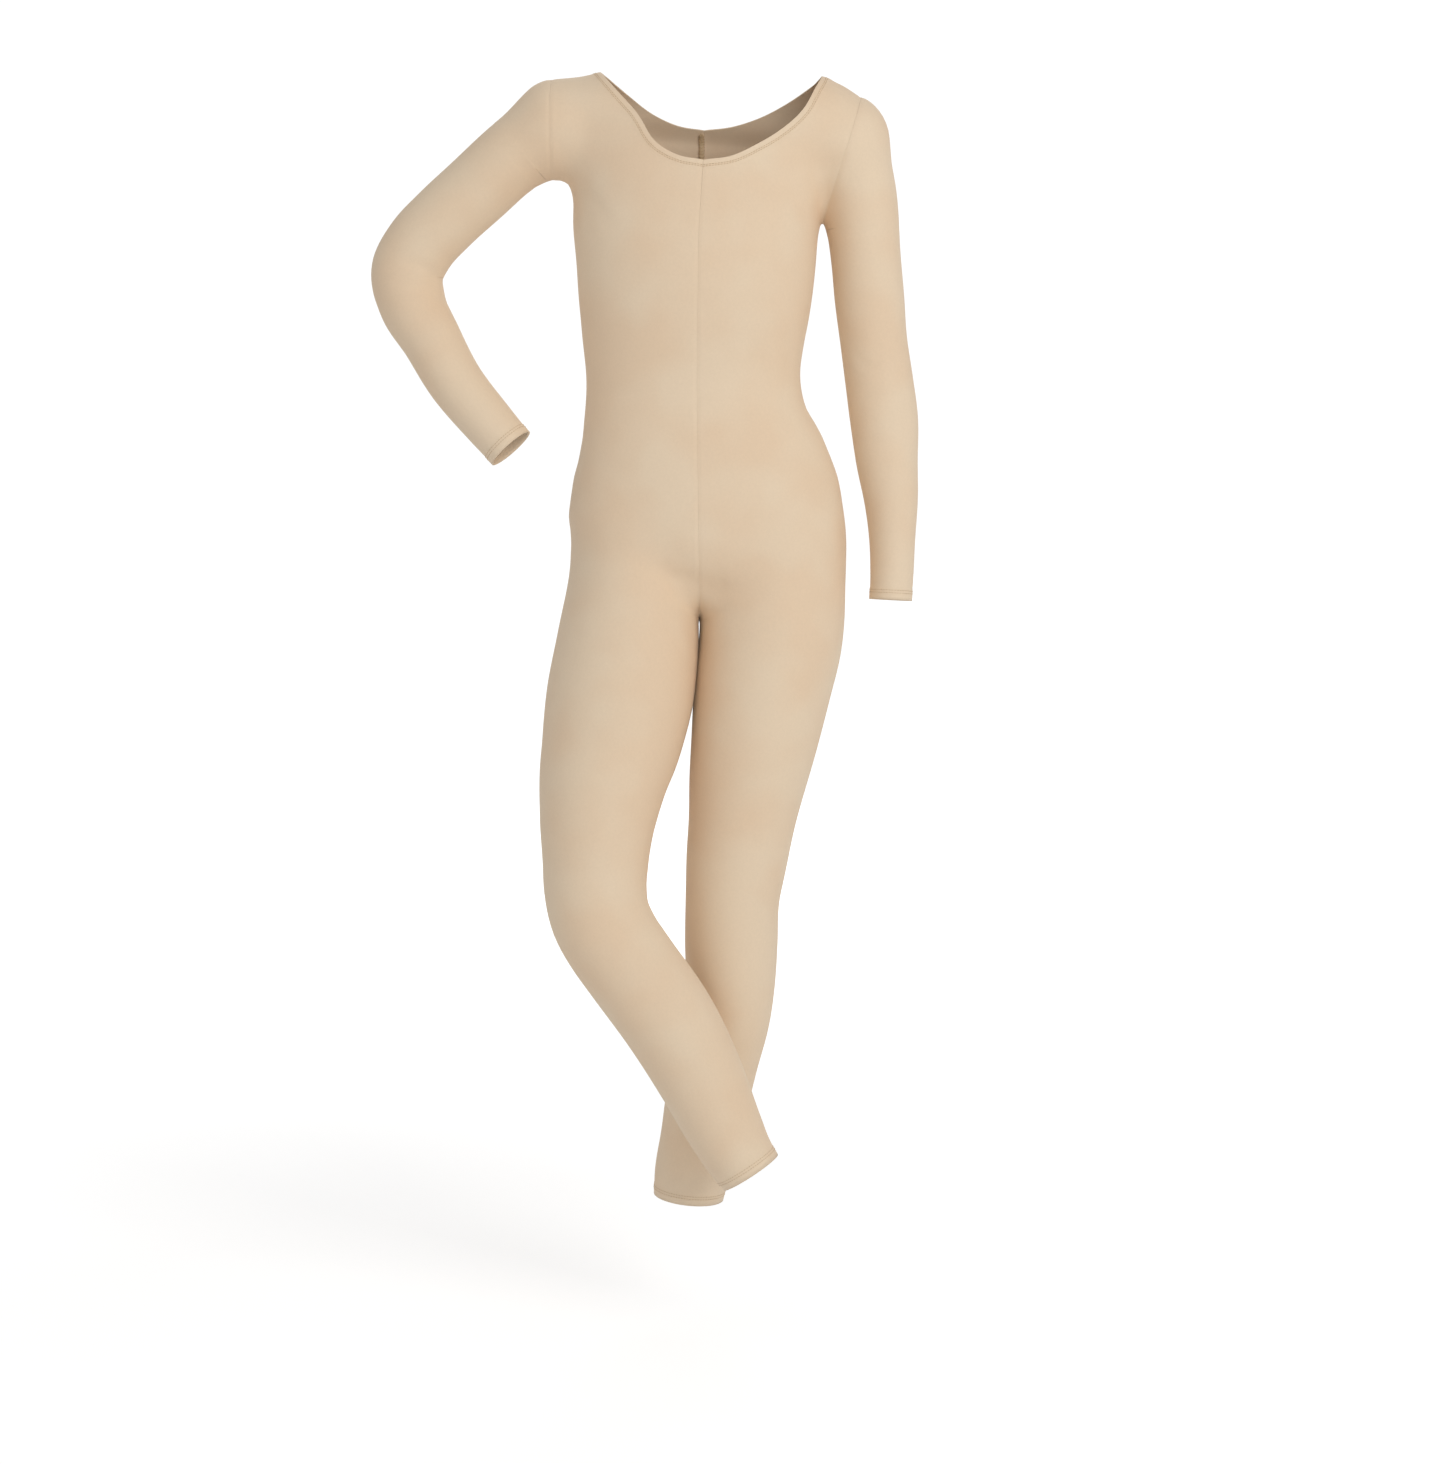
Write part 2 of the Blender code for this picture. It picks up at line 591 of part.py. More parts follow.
def add_cloth(name, outer, away, flip, collection, material):
    """A piece of cloth: outer is its outer face, and its wall is set inwards from that.

    A body piece is one sheet and a sleeve is a tube.
    """
    rows, columns = outer.shape[:2]
    outer = outer.reshape(-1, 3)
    inner = outer - WALL * away.reshape(-1, 3)
    index = np.arange(rows * columns).reshape(rows, columns)
    if name.startswith("sleeve"):
        index = np.concatenate([index, index[:, :1]], axis=1)
        rims = [index[0], index[-1, ::-1]]
    else:
        rims = [np.concatenate([index[0], index[1:, -1], index[-1, -2::-1], index[-2::-1, 0]])]
    quads = np.stack([index[:-1, :-1], index[1:, :-1], index[1:, 1:], index[:-1, 1:]], axis=-1).reshape(-1, 4)
    faces = [quads, quads[:, TURNED_OVER] + len(outer)]
    for rim in rims:
        faces.append(np.stack([rim[:-1], rim[1:], rim[1:] + len(outer), rim[:-1] + len(outer)], axis=-1))
    faces = np.concatenate(faces)
    if flip:
        faces = faces[:, TURNED_OVER]
    mesh = bpy.data.meshes.new(name)
    mesh.from_pydata(np.concatenate([outer, inner]).tolist(), [], faces.tolist())
    mesh.shade_smooth()
    mesh.materials.append(material)
    piece = bpy.data.objects.new(name, mesh)
    collection.objects.link(piece)
    return piece


def cloth_material(name, colour):
    """Matte stretch knit."""
    material = bpy.data.materials.new(name)
    material.use_nodes = True
    shader = material.node_tree.nodes["Principled BSDF"]
    shader.inputs["Base Color"].default_value = (*colour, 1.0)
    shader.inputs["Roughness"].default_value = 0.75
    shader.inputs["Metallic"].default_value = 0.0
    return material


def main():
    for old in list(bpy.data.objects):
        bpy.data.objects.remove(old, do_unlink=True)
    collection = bpy.data.collections.new("unitard")
    bpy.context.scene.collection.children.link(collection)
    beige = (0.71, 0.56, 0.39)
    for side in SIDES:
        for face in FACES:
            flip = (side == "right") == (face == "front")
            material = cloth_material(f"beige_knit_{face}_{side}", beige)
            grid = body_grid(side, face)
            outer = drawn_in_body(grid, side, face)
            add_cloth(f"{face}_{side}", outer, wall_directions(grid, side), flip, collection, material)
        material = cloth_material(f"beige_knit_sleeve_{side}", beige)
        grid = sleeve_grid(side)
        outer = drawn_in_sleeve(grid, side)
        away = wall_directions(grid, side)
        add_cloth(f"sleeve_{side}", outer, away, side == "right", collection, material)


main()
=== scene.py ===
"""Looks of a hollow, long-sleeved, ankle-length stretch unitard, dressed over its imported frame.

The cloth lies on a plain, general figure: chains of oval sections that run into each other with soft
fillets. Six pieces of knit are cut from that figure's skin, pressed along their seams and hems, given
their creases, and stitched. All sizes are metres unless a name says millimetres. +Z is up, the front
faces -Y, and +X is the garment's left.
"""

import logging
import math
from dataclasses import dataclass, field
from enum import Enum
from typing import NamedTuple

import bpy
import numpy as np
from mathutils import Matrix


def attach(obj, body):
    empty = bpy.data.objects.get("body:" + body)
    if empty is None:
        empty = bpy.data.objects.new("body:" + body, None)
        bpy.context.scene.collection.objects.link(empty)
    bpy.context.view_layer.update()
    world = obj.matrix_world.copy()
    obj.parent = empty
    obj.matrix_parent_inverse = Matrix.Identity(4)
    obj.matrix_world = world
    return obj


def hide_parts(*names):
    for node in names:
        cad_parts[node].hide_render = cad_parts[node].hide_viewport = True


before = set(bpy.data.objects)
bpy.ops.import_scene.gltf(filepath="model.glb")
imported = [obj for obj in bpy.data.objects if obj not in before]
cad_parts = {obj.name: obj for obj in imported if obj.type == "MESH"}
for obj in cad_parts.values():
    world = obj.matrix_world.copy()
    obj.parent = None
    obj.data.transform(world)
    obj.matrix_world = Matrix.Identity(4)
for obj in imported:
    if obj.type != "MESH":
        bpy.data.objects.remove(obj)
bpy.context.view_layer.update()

LOG = logging.getLogger("unitard")
MM = 0.001


class Way(Enum):
    """A way from the garment's middle, with the sign of its axis there."""

    @property
    def label(self) -> str:
        """The way's name as the nodes spell it."""
        return self.name.lower()


class Side(Way):
    """The garment's own right and left, with the sign of X there."""

    RIGHT = -1.0
    LEFT = 1.0


class Face(Way):
    """The garment's front and back, with the sign of Y there."""

    FRONT = -1.0
    BACK = 1.0


BOTH = tuple(Side)


class Section(NamedTuple):
    """One oval section of a limb, in millimetres: its middle, and its half sizes across and deep."""

    x: float
    y: float
    z: float
    across: float
    deep: float


def sections(*rows: tuple[float, ...]) -> list[Section]:
    """A section for each row of its five numbers."""
    return [Section(*row) for row in rows]


TORSO_SECTIONS = sections(
    (-10, 5, -80, 103, 72),
    (-13, 2, -120, 126, 84),
    (-16, -1, -160, 128, 91),
    (-16, -3, -204, 125, 94),
    (-17.5, -2, -250, 121, 91),
    (-19, 0, -287, 116, 86),
    (-19, 1, -329, 112, 80),
    (-17, 2, -371, 118, 82),
    (-12, 4, -412, 132.5, 89),
    (-7, 7, -454, 140.5, 94),
    (-5.5, 8, -482, 138, 93),
    (-7, 9, -506, 129, 88),
    (-10, 9, -528, 113, 77),
    (-13, 8, -546, 92, 60),
)
# The yoke runs from shoulder to shoulder, so its sections stand upright: across is their height.
YOKE_SECTIONS = sections(
    (-158, 4, -68, 44, 47),
    (-116, 4, -64, 52, 57),
    (-55, 4, -64, 62, 66),
    (0, 4, -64, 64, 68),
    (55, 4, -66, 62, 66),
    (115, 4, -72, 53, 57),
    (138, 4, -80, 46, 48),
)
RIGHT_ARM_SECTIONS = sections(
    (-160, 4, -66, 44, 48),
    (-211, 8, -101, 38.6, 43),
    (-245, 13, -131, 38, 41),
    (-280, 18, -162, 37.7, 40),
    (-305, 22, -188, 37.8, 39.5),
    (-319.5, 24, -216, 38, 39),
    (-315, 22, -248, 35.5, 37.5),
    (-294, 16, -287, 31.5, 35),
    (-270, 8, -329, 29.4, 33),
    (-234, -2, -373, 27.3, 29),
    (-210, -8, -400, 25.7, 27),
    (-188, -13, -424, 24.5, 26),
)
LEFT_ARM_SECTIONS = sections(
    (139, 4, -88, 43, 47),
    (152, 5, -130, 40, 46),
    (161.5, 6, -204, 36.5, 42),
    (165.5, 9, -245, 36.5, 41),
    (170, 11, -287, 35.2, 39),
    (176, 12, -329, 35.7, 38),
    (181.5, 10, -371, 35.8, 38),
    (184.5, 6, -413, 32.6, 37),
    (188.8, 1, -454, 28.4, 34),
    (190, -4, -496, 24.2, 31),
    (189.5, -8, -538, 22.6, 29),
    (188.3, -10, -559, 22.1, 28),
    (187, -12, -590, 22, 28),
)
RIGHT_LEG_SECTIONS = sections(
    (-77, 9, -450, 60, 70),
    (-80.5, 8, -490, 66.5, 80),
    (-82, 5, -530, 67.5, 83),
    (-88.5, -6, -601, 74, 83),
    (-97.5, -14, -664, 77, 83),
    (-105, -20, -706, 74, 79),
    (-114.5, -29, -749, 67.5, 74),
    (-120, -36, -791, 61, 68),
    (-122, -41, -831, 56, 63),
    (-122, -46, -862, 54, 59),
    (-117, -50, -890, 52.5, 56),
    (-104, -54, -915, 51.5, 54),
    (-88, -57, -938, 51, 53),
    (-44, -65, -999, 50, 52),
    (-11, -72, -1058, 45.8, 48),
    (10.5, -75, -1104, 41, 43),
    (29, -78, -1139, 36.4, 39),
    (41.5, -80, -1157, 33.5, 37),
    (59, -83, -1187, 31, 36),
)
LEFT_LEG_SECTIONS = sections(
    (64, 10, -450, 64, 70),
    (66, 9, -490, 74, 80),
    (65, 8, -545, 76.5, 83),
    (63, 7, -603, 75.3, 84),
    (55.5, 7, -647, 72.5, 82),
    (45, 9, -711, 67, 76),
    (38, 11, -753, 62.4, 70),
    (32, 13, -797, 57, 64),
    (26.5, 15, -840, 54, 59),
    (22, 18, -884, 50.3, 56),
    (21, 22, -927, 50, 54),
    (20, 26, -971, 48.4, 54),
    (15, 30, -1014, 47.5, 53),
    (5, 34, -1058, 46, 50),
    (-5, 37, -1103, 45, 46),
    (-14, 39, -1148, 42, 42),
    (-23, 41, -1193, 40, 39),
    (-26, 42, -1219, 37, 38),
    (-28, 43, -1245, 36, 37),
)


def by_side(right: object, left: object) -> dict:
    """A dataclass's field that holds a value for each side of the garment."""
    return field(default_factory=lambda: {Side.RIGHT: right, Side.LEFT: left})


def unit(vectors: np.ndarray) -> np.ndarray:
    """The vectors at length 1."""
    return vectors / np.maximum(np.linalg.norm(vectors, axis=-1, keepdims=True), 1e-12)


def ease(x: np.ndarray, start: float, end: float) -> np.ndarray:
    """0 before start, 1 after end, and the smooth step s * s * (3 - 2 * s) between them."""
    s = np.clip((x - start) / (end - start), 0, 1)
    return s * s * (3 - 2 * s)


def fillet(a: np.ndarray, b: np.ndarray, blend: np.ndarray | float) -> np.ndarray:
    """The smaller of two distances, less a quarter of the blend where they are equal, fading out."""
    overlap = np.maximum(blend - np.abs(a - b), 0) / blend
    return np.minimum(a, b) - overlap**2 * blend / 4


def along_curve(rows: np.ndarray, places: np.ndarray) -> np.ndarray:
    """Rows read from a smooth curve through the given rows.

    The curve is a cubic Hermite by length along its first three numbers, with central slopes.

    Args:
        rows: The rows that the curve passes through.
        places: Places from 0 to 1 along its length.

    Returns:
        A row for each place.
    """
    rows = np.asarray(rows, float)
    steps = np.linalg.norm(np.diff(rows[:, :3], axis=0), axis=1)
    knots = np.concatenate([[0.0], np.cumsum(steps)])
    slopes = np.gradient(rows, knots, axis=0)
    at = np.asarray(places, float) * knots[-1]
    i = np.clip(np.searchsorted(knots, at, side="right") - 1, 0, len(knots) - 2)
    span = (knots[i + 1] - knots[i])[:, None]
    s = (at - knots[i])[:, None] / span
    blend = s * s * (3 - 2 * s)
    lead_in = s * (1 - s) ** 2 * span
    lead_out = s * s * (1 - s) * span
    return (1 - blend) * rows[i] + blend * rows[i + 1] + lead_in * slopes[i] - lead_out * slopes[i + 1]


@dataclass
class Limb:
    """A chain of oval sections, read at even steps along a smooth curve through them."""

    sections: list[Section]
    count: int
    cap: float
    power: float = 2.0
    middle: np.ndarray = field(init=False)
    half: np.ndarray = field(init=False)
    along: np.ndarray = field(init=False)
    across: np.ndarray = field(init=False)
    deep: np.ndarray = field(init=False)

    def __post_init__(self) -> None:
        """Reads the middle line, half sizes and directions at even steps."""
        rows = along_curve(np.array(self.sections) * MM, np.linspace(0, 1, self.count))
        self.middle = rows[:, :3]
        self.half = rows[:, 3:]
        self.along = unit(np.gradient(self.middle, axis=0))
        self.across = unit(np.cross(self.along, (0.0, 1.0, 0.0)))
        self.deep = np.cross(self.across, self.along)

    def distance(self, points: np.ndarray) -> np.ndarray:
        """How far each point lies outside the limb's skin, measured away from its middle line.

        With v the way from the nearest place of the middle line, it is the length of v less the
        length of v over its size in the oval there, which is 0 on the skin.
        """
        gap = (self.middle**2).sum(1) - 2 * points @ self.middle.T
        i = np.argmin(gap, axis=1)
        i = i - (((points - self.middle[i]) * self.along[i]).sum(1) < 0)
        i = np.clip(i, 0, len(self.middle) - 2)
        step = self.middle[i + 1] - self.middle[i]
        s = ((points - self.middle[i]) * step).sum(1) / (step**2).sum(1)
        s = np.clip(s, 0, 1)[:, None]
        offset = points - self.middle[i] - s * step
        half = self.half[i] + s * (self.half[i + 1] - self.half[i])
        parts = [
            (offset * (axes[i] + s * (axes[i + 1] - axes[i]))).sum(1) / size
            for axes, size in ((self.across, half[:, 0]), (self.deep, half[:, 1]), (self.along, self.cap))
        ]
        tiny = 1e-6
        share = sum(np.abs(part) ** self.power for part in parts) ** (1 / self.power)
        length = np.maximum(np.linalg.norm(offset, axis=1), tiny)
        return length - length / np.maximum(share, tiny / half[:, 1])

    def at_height(self, z: np.ndarray) -> np.ndarray:
        """Middle of an upright limb at the given heights."""
        order = np.argsort(self.middle[:, 2])
        heights = self.middle[order, 2]
        return np.stack([np.interp(z, heights, self.middle[order, k]) for k in range(3)], axis=-1)

    def rings(self, z_start: float, z_end: float, count: int) -> tuple[np.ndarray, np.ndarray, np.ndarray]:
        """Even steps down a hanging limb.

        Args:
            z_start: Height of its middle line at the first step.
            z_end: Height of it at the last one.
            count: How many steps.

        Returns:
            The middles, the directions across and the directions deep.
        """
        places = np.linspace(0, 1, len(self.middle))
        start, end = np.interp([-z_start, -z_end], -self.middle[:, 2], places)
        at = np.linspace(start, end, count)
        read = [
            np.stack([np.interp(at, places, rows[:, k]) for k in range(3)], axis=1)
            for rows in (self.middle, self.across, self.deep)
        ]
        return read[0], unit(read[1]), unit(read[2])


@dataclass
class Figure:
    """The plain figure that the cloth lies on: a torso, a yoke, two arms and two legs."""

    yoke_blend: float = 40 * MM
    shoulder_blend: float = 22 * MM
    underarm_blend: float = 16 * MM
    hip_blend: float = 20 * MM
    underarm_top: float = -90 * MM
    underarm_base: float = -150 * MM
    probe: float = 0.3 * MM
    longest_step: float = 4 * MM
    longest_move: float = 10 * MM
    slowest_rise: float = 0.08
    wary_steps: int = 20
    wary_share: float = 0.7
    exact_steps: int = 6
    settle_steps: int = 10
    settle_share: float = 0.8
    torso: Limb = field(default_factory=lambda: Limb(TORSO_SECTIONS, 60, 22 * MM, 2.25))
    yoke: Limb = field(default_factory=lambda: Limb(YOKE_SECTIONS, 40, 40 * MM))
    arms: dict[Side, Limb] = field(init=False)
    legs: dict[Side, Limb] = field(init=False)

    def __post_init__(self) -> None:
        """Makes the four limbs that come in pairs."""
        arm_steps, leg_steps, cap = 60, 80, 40 * MM
        self.arms = {
            Side.RIGHT: Limb(RIGHT_ARM_SECTIONS, arm_steps, cap),
            Side.LEFT: Limb(LEFT_ARM_SECTIONS, arm_steps, cap),
        }
        self.legs = {
            Side.RIGHT: Limb(RIGHT_LEG_SECTIONS, leg_steps, cap),
            Side.LEFT: Limb(LEFT_LEG_SECTIONS, leg_steps, cap),
        }

    def distance(self, points: np.ndarray, legs: tuple[Side, ...] = BOTH) -> np.ndarray:
        """How far each point lies outside the figure's skin, with the given legs: below 0 inside it."""
        rise = ease(points[:, 2], self.underarm_base, self.underarm_top)
        arm_blend = self.underarm_blend + (self.shoulder_blend - self.underarm_blend) * rise
        trunk = fillet(self.torso.distance(points), self.yoke.distance(points), self.yoke_blend)
        for arm in self.arms.values():
            trunk = fillet(trunk, arm.distance(points), arm_blend)
        ends = [fillet(trunk, self.legs[side].distance(points), self.hip_blend) for side in legs]
        return np.min(ends, axis=0)

    def reach(
        self, starts: np.ndarray, directions: np.ndarray, legs: tuple[Side, ...] = BOTH
    ) -> np.ndarray:
        """Where rays that start inside the figure first reach its skin.

        Each ray first walks a share of the distance to the skin at a time, then ends with Newton's steps.

        Args:
            starts: Where the rays start, in any shape of array.
            directions: Their directions, of any length.
            legs: The legs that they can meet.

        Returns:
            A point of the skin for each ray.
        """
        directions = unit(np.asarray(directions, float))
        starts, directions = np.broadcast_arrays(np.asarray(starts, float), directions)
        shape = starts.shape
        starts, directions = starts.reshape(-1, 3), directions.reshape(-1, 3)
        length = np.zeros(len(starts))
        for _ in range(self.wary_steps):
            length -= self.wary_share * self.distance(starts + directions * length[:, None], legs)
        for _ in range(self.exact_steps):
            here = self.distance(starts + directions * length[:, None], legs)
            ahead = self.distance(starts + directions * (length + self.probe)[:, None], legs)
            rate = np.maximum((ahead - here) / self.probe, self.slowest_rise)
            length -= np.clip(here / rate, -self.longest_step, self.longest_step)
        return (starts + directions * length[:, None]).reshape(shape)

    def slope(self, points: np.ndarray, legs: tuple[Side, ...] = BOTH) -> np.ndarray:
        """Which way, and how fast, the skin is left behind at each point, by central differences."""
        flat = points.reshape(-1, 3)
        steps = self.probe * np.eye(3)
        rises = [self.distance(flat + step, legs) - self.distance(flat - step, legs) for step in steps]
        return (np.stack(rises, axis=1) / (2 * self.probe)).reshape(points.shape)

    def settle(self, points: np.ndarray, legs: tuple[Side, ...] = BOTH) -> np.ndarray:
        """Points near the figure moved onto its skin, each along the skin's own slope."""
        flat = points.reshape(-1, 3)
        for _ in range(self.settle_steps):
            away = self.slope(flat, legs)
            off = self.distance(flat, legs) / (away**2).sum(1)
            move = -self.settle_share * off[:, None] * away
            length = np.linalg.norm(move, axis=1, keepdims=True)
            flat = flat + move * np.minimum(1, self.longest_move / np.maximum(length, self.longest_move))
        return flat.reshape(points.shape)


@dataclass
class UnitardCut:
    """Where the seams, neckline and hems run on the figure, and the grids of cloth between them."""

    figure: Figure
    columns: np.ndarray = field(
        default_factory=lambda: np.concatenate(
            [[0.0, 0.008, 0.02], np.linspace(0.045, 0.955, 23), [0.98, 0.992, 1.0]]
        )
    )
    centre_seam: tuple = ((-8, -100), (-13, -180), (-15, -330), (-13, -500), (-13, -600))
    front_neckline: dict = by_side(
        [(-8, -105), (-34, -100), (-57, -86), (-75, -58), (-95, -35), (-109, -19)],
        [(-8, -105), (20, -101), (46, -89), (72, -73), (93, -54), (108, -28)],
    )
    back_neckline: dict = by_side(
        [(-8, -66), (-34, -62), (-62, -50), (-88, -31), (-106, -17)],
        [(-8, -66), (20, -63), (50, -54), (82, -38), (104, -24)],
    )
    neckline_steps: int = 40
    neck_point_x: dict = by_side(-116 * MM, 115 * MM)
    neck_share: float = 0.736
    shoulder_y: float = 0.004 * MM
    shoulder_steps: int = 12
    armhole_middle: dict = by_side((-166, -70), (136, -100))
    armhole_lean: dict = by_side(0.0, 17.0)
    armhole_steps: np.ndarray = field(
        default_factory=lambda: np.concatenate(
            [[0.0, 0.012, 0.03, 0.055], np.linspace(0.09, 0.955, 18), [0.985, 1.0]]
        )
    )
    side_shares: tuple = (0.2, 0.4, 0.58, 0.73, 0.84, 0.92, 0.97)
    first_row: float = -176 * MM
    seat: float = -500 * MM
    side_lift: dict = by_side(26 * MM, -34 * MM)
    lift_ends: float = -330 * MM
    crotch_rows: int = 7
    inseam_rows: int = 9
    inseam_crowding: float = 1.3
    leg_side: float = -640 * MM
    leg_top: float = -692 * MM
    leg_hems: dict = by_side(-1157 * MM, -1213 * MM)
    hinge_drop: float = 8 * MM
    fan_steps: np.ndarray = field(
        default_factory=lambda: np.concatenate([[0.0, 0.02, 0.06], np.linspace(0.12, 1.0, 12)])
    )
    ring_gap: float = 7 * MM
    sleeve_starts: dict = by_side(-112 * MM, -200 * MM)
    cuffs: dict = by_side(-400 * MM, -559 * MM)

    def neck_column(self) -> int:
        """The column that starts at the neck point, where the neckline meets the shoulder seam."""
        return int(np.argmin(np.abs(self.columns - self.neck_share)))

    def centre_x(self, z: np.ndarray) -> np.ndarray:
        """x of the centre seams at the given heights."""
        table = np.array(self.centre_seam) * MM
        order = np.argsort(table[:, 1])
        return np.interp(z, table[order, 1], table[order, 0])

    def centre_points(self, z: np.ndarray, face: Face) -> np.ndarray:
        """Points of the centre front or centre back seam at the given heights."""
        starts = np.stack([self.centre_x(z), self.figure.torso.at_height(z)[..., 1], z], axis=1)
        return self.figure.reach(starts, np.array([0.0, face.value, 0.0]))

    def crotch_points(self, face: Face, count: int) -> np.ndarray:
        """Points of the centre seam from the seat down and under to the crotch."""
        start = np.array([self.centre_x(self.seat), self.figure.torso.at_height(self.seat)[1], self.seat])
        turn = np.radians(np.linspace(0, 90, count + 1)[1:])
        rays = np.stack([0 * turn, face.value * np.cos(turn), -np.sin(turn)], axis=1)
        return self.figure.reach(start, rays)

    def ring_rows(
        self,
        middles: np.ndarray,
        out: np.ndarray,
        front: np.ndarray,
        face: Face,
        seams: np.ndarray,
        legs: tuple[Side, ...] = BOTH,
    ) -> np.ndarray:
        """Rows of a body piece: rays in the plane of out and front, tilted at the seam end to meet it.

        Args:
            middles: Where each row's rays start.
            out: Each row's direction to the side seam.
            front: Each row's direction to the front.
            face: The front or the back.
            seams: Each row's point on the centre seam or inseam.
            legs: The legs that the rays can meet.

        Returns:
            The grid of points, a row to a row.
        """
        up = np.cross(out, front)
        toward = unit(seams - middles)
        flat_front = (toward * front).sum(1)
        flat_out = (toward * out).sum(1)
        seam_angle = np.arctan2(flat_out, flat_front)
        behind = (face is Face.BACK) & (seam_angle < 0.5 * np.pi)
        seam_angle = np.where(behind, seam_angle + 2 * np.pi, seam_angle)
        angles = seam_angle[:, None] + (0.5 * np.pi - seam_angle)[:, None] * self.columns
        rise = (toward * up).sum(1) / np.hypot(flat_front, flat_out)
        tilt = rise[:, None] * (1 - self.columns) ** 2
        rays = (
            np.cos(angles)[..., None] * front[:, None]
            + np.sin(angles)[..., None] * out[:, None]
            + tilt[..., None] * up[:, None]
        )
        return self.figure.reach(middles[:, None], rays, legs)

    def patch(
        self,
        top: np.ndarray,
        base: np.ndarray,
        centre: np.ndarray,
        side: np.ndarray,
        steps: np.ndarray,
        legs: tuple[Side, ...] = BOTH,
    ) -> np.ndarray:
        """Rows between two rows and two edges, blended from all four and settled on the figure.

        It is a Coons patch: the sum of the blends between opposite edges, less that of the corners.

        Args:
            top: The first row.
            base: The last row.
            centre: The first point of each row.
            side: The last point of each row.
            steps: Each row's place from the top, 0, to the base, 1.
            legs: The legs that the rows lie on.

        Returns:
            The grid of points, the first and last rows with it.
        """
        u = self.columns[None, :, None]
        v = steps[:, None, None]
        grid = (1 - v) * top + v * base + (1 - u) * centre[:, None] + u * side[:, None]
        corners = (1 - u) * ((1 - v) * top[0] + v * base[0]) + u * ((1 - v) * top[-1] + v * base[-1])
        grid = grid - corners
        grid[1:-1, 1:-1] = self.figure.settle(grid[1:-1, 1:-1], legs)
        return grid

    def trunk_rows(self, side: Side, face: Face, count: int = 24) -> np.ndarray:
        """Rows from below the underarm to the seat."""
        out = np.broadcast_to([side.value, 0.0, 0.0], (count, 3))
        front = np.broadcast_to([0.0, -1.0, 0.0], (count, 3))
        seam_z = np.linspace(self.first_row, self.seat, count)
        heights = seam_z + self.side_lift[side] * ease(seam_z, self.lift_ends, self.first_row)
        middles = self.figure.torso.at_height(heights)
        middles[:, 2] = heights
        return self.ring_rows(middles, out, front, face, self.centre_points(seam_z, face))

    def leg_rows(self, side: Side, face: Face, count: int = 44) -> np.ndarray:
        """Rows from below the crotch to the leg hem, square with the leg."""
        middles, across, deep = self.figure.legs[side].rings(self.leg_top, self.leg_hems[side], count)
        out = side.value * across
        return self.ring_rows(middles, out, -deep, face, middles - out, (side,))

    def seat_rows(self, side: Side, face: Face, above: np.ndarray, below: np.ndarray) -> np.ndarray:
        """Rows between the seat and the leg: the centre seam turns under to the crotch, then the inseam."""
        under = self.crotch_points(face, self.crotch_rows)
        leg = self.figure.legs[side]
        drops = np.linspace(0, 1, self.inseam_rows + 2)[1:-1] ** self.inseam_crowding
        heights = under[-1, 2] + (below[0, 2] - under[-1, 2]) * drops
        inseam = self.figure.reach(leg.at_height(heights), np.array([-side.value, 0.0, 0.0]), (side,))
        centre = np.concatenate([above[:1], under, inseam, below[:1]])
        steps = np.linspace(0, 1, len(centre))
        side_z = above[-1, 2] + (below[-1, 2] - above[-1, 2]) * steps
        share = ease(side_z, self.seat, self.leg_side)[:, None]
        middles = (1 - share) * self.figure.torso.at_height(side_z) + share * leg.at_height(side_z)
        middles[:, 2] = side_z
        edge = self.figure.reach(middles, np.array([side.value, 0.0, 0.0]))
        edge[0], edge[-1] = above[-1], below[-1]
        return self.patch(above, below, centre, edge, steps, (side,))

    def armhole_frame(self, side: Side) -> tuple[np.ndarray, np.ndarray, np.ndarray]:
        """Middle of an armhole, and the directions in its plane to the underarm and to the front."""
        x, z = self.armhole_middle[side]
        lean = math.radians(self.armhole_lean[side])
        middle = np.array([x * MM, self.shoulder_y, z * MM])
        under = np.array([-side.value * math.sin(lean), 0.0, -math.cos(lean)])
        return middle, under, np.array([0.0, -1.0, 0.0])

    def toward_body(self, side: Side) -> np.ndarray:
        """The direction square with an armhole's plane, on the body's side of it."""
        _, under, front = self.armhole_frame(side)
        return side.value * np.cross(under, front)

    def armhole_edge(self, side: Side, face: Face) -> np.ndarray:
        """A line round the front or the back of the armhole, from the underarm to the shoulder point."""
        middle, under, front = self.armhole_frame(side)
        turn = np.pi * self.armhole_steps[:, None]
        return self.figure.reach(middle, np.cos(turn) * under - face.value * np.sin(turn) * front)

    def top_edge(self, side: Side, face: Face) -> np.ndarray:
        """Top edge of a body piece: the neckline from centre to neck point, then the shoulder seam."""
        outline = (self.front_neckline if face is Face.FRONT else self.back_neckline)[side]
        places = np.linspace(0, 1, self.neckline_steps)
        flat = along_curve(np.array([(x, 0, z) for x, z in outline]) * MM, places)
        flat[:, 1] = self.shoulder_y
        neckline = self.figure.reach(flat, np.array([0.0, face.value, 0.0]))
        shoulder_end = self.armhole_edge(side, face)[-1]
        xs = np.linspace(self.neck_point_x[side], shoulder_end[0], self.shoulder_steps)
        yoke = self.figure.yoke.middle
        starts = np.stack([xs, 0 * xs + self.shoulder_y, np.interp(xs, yoke[:, 0], yoke[:, 2])], axis=1)
        ridge = self.figure.reach(starts, np.array([0.0, 0.0, 1.0]))
        ridge[-1] = shoulder_end
        neckline = np.concatenate([neckline, ridge[:1]])
        split = self.neck_column()
        share = self.columns[split]
        neck = along_curve(neckline, self.columns[: split + 1] / share)
        shoulder = along_curve(ridge, (self.columns[split + 1 :] - share) / (1 - share))
        return np.concatenate([neck, shoulder])

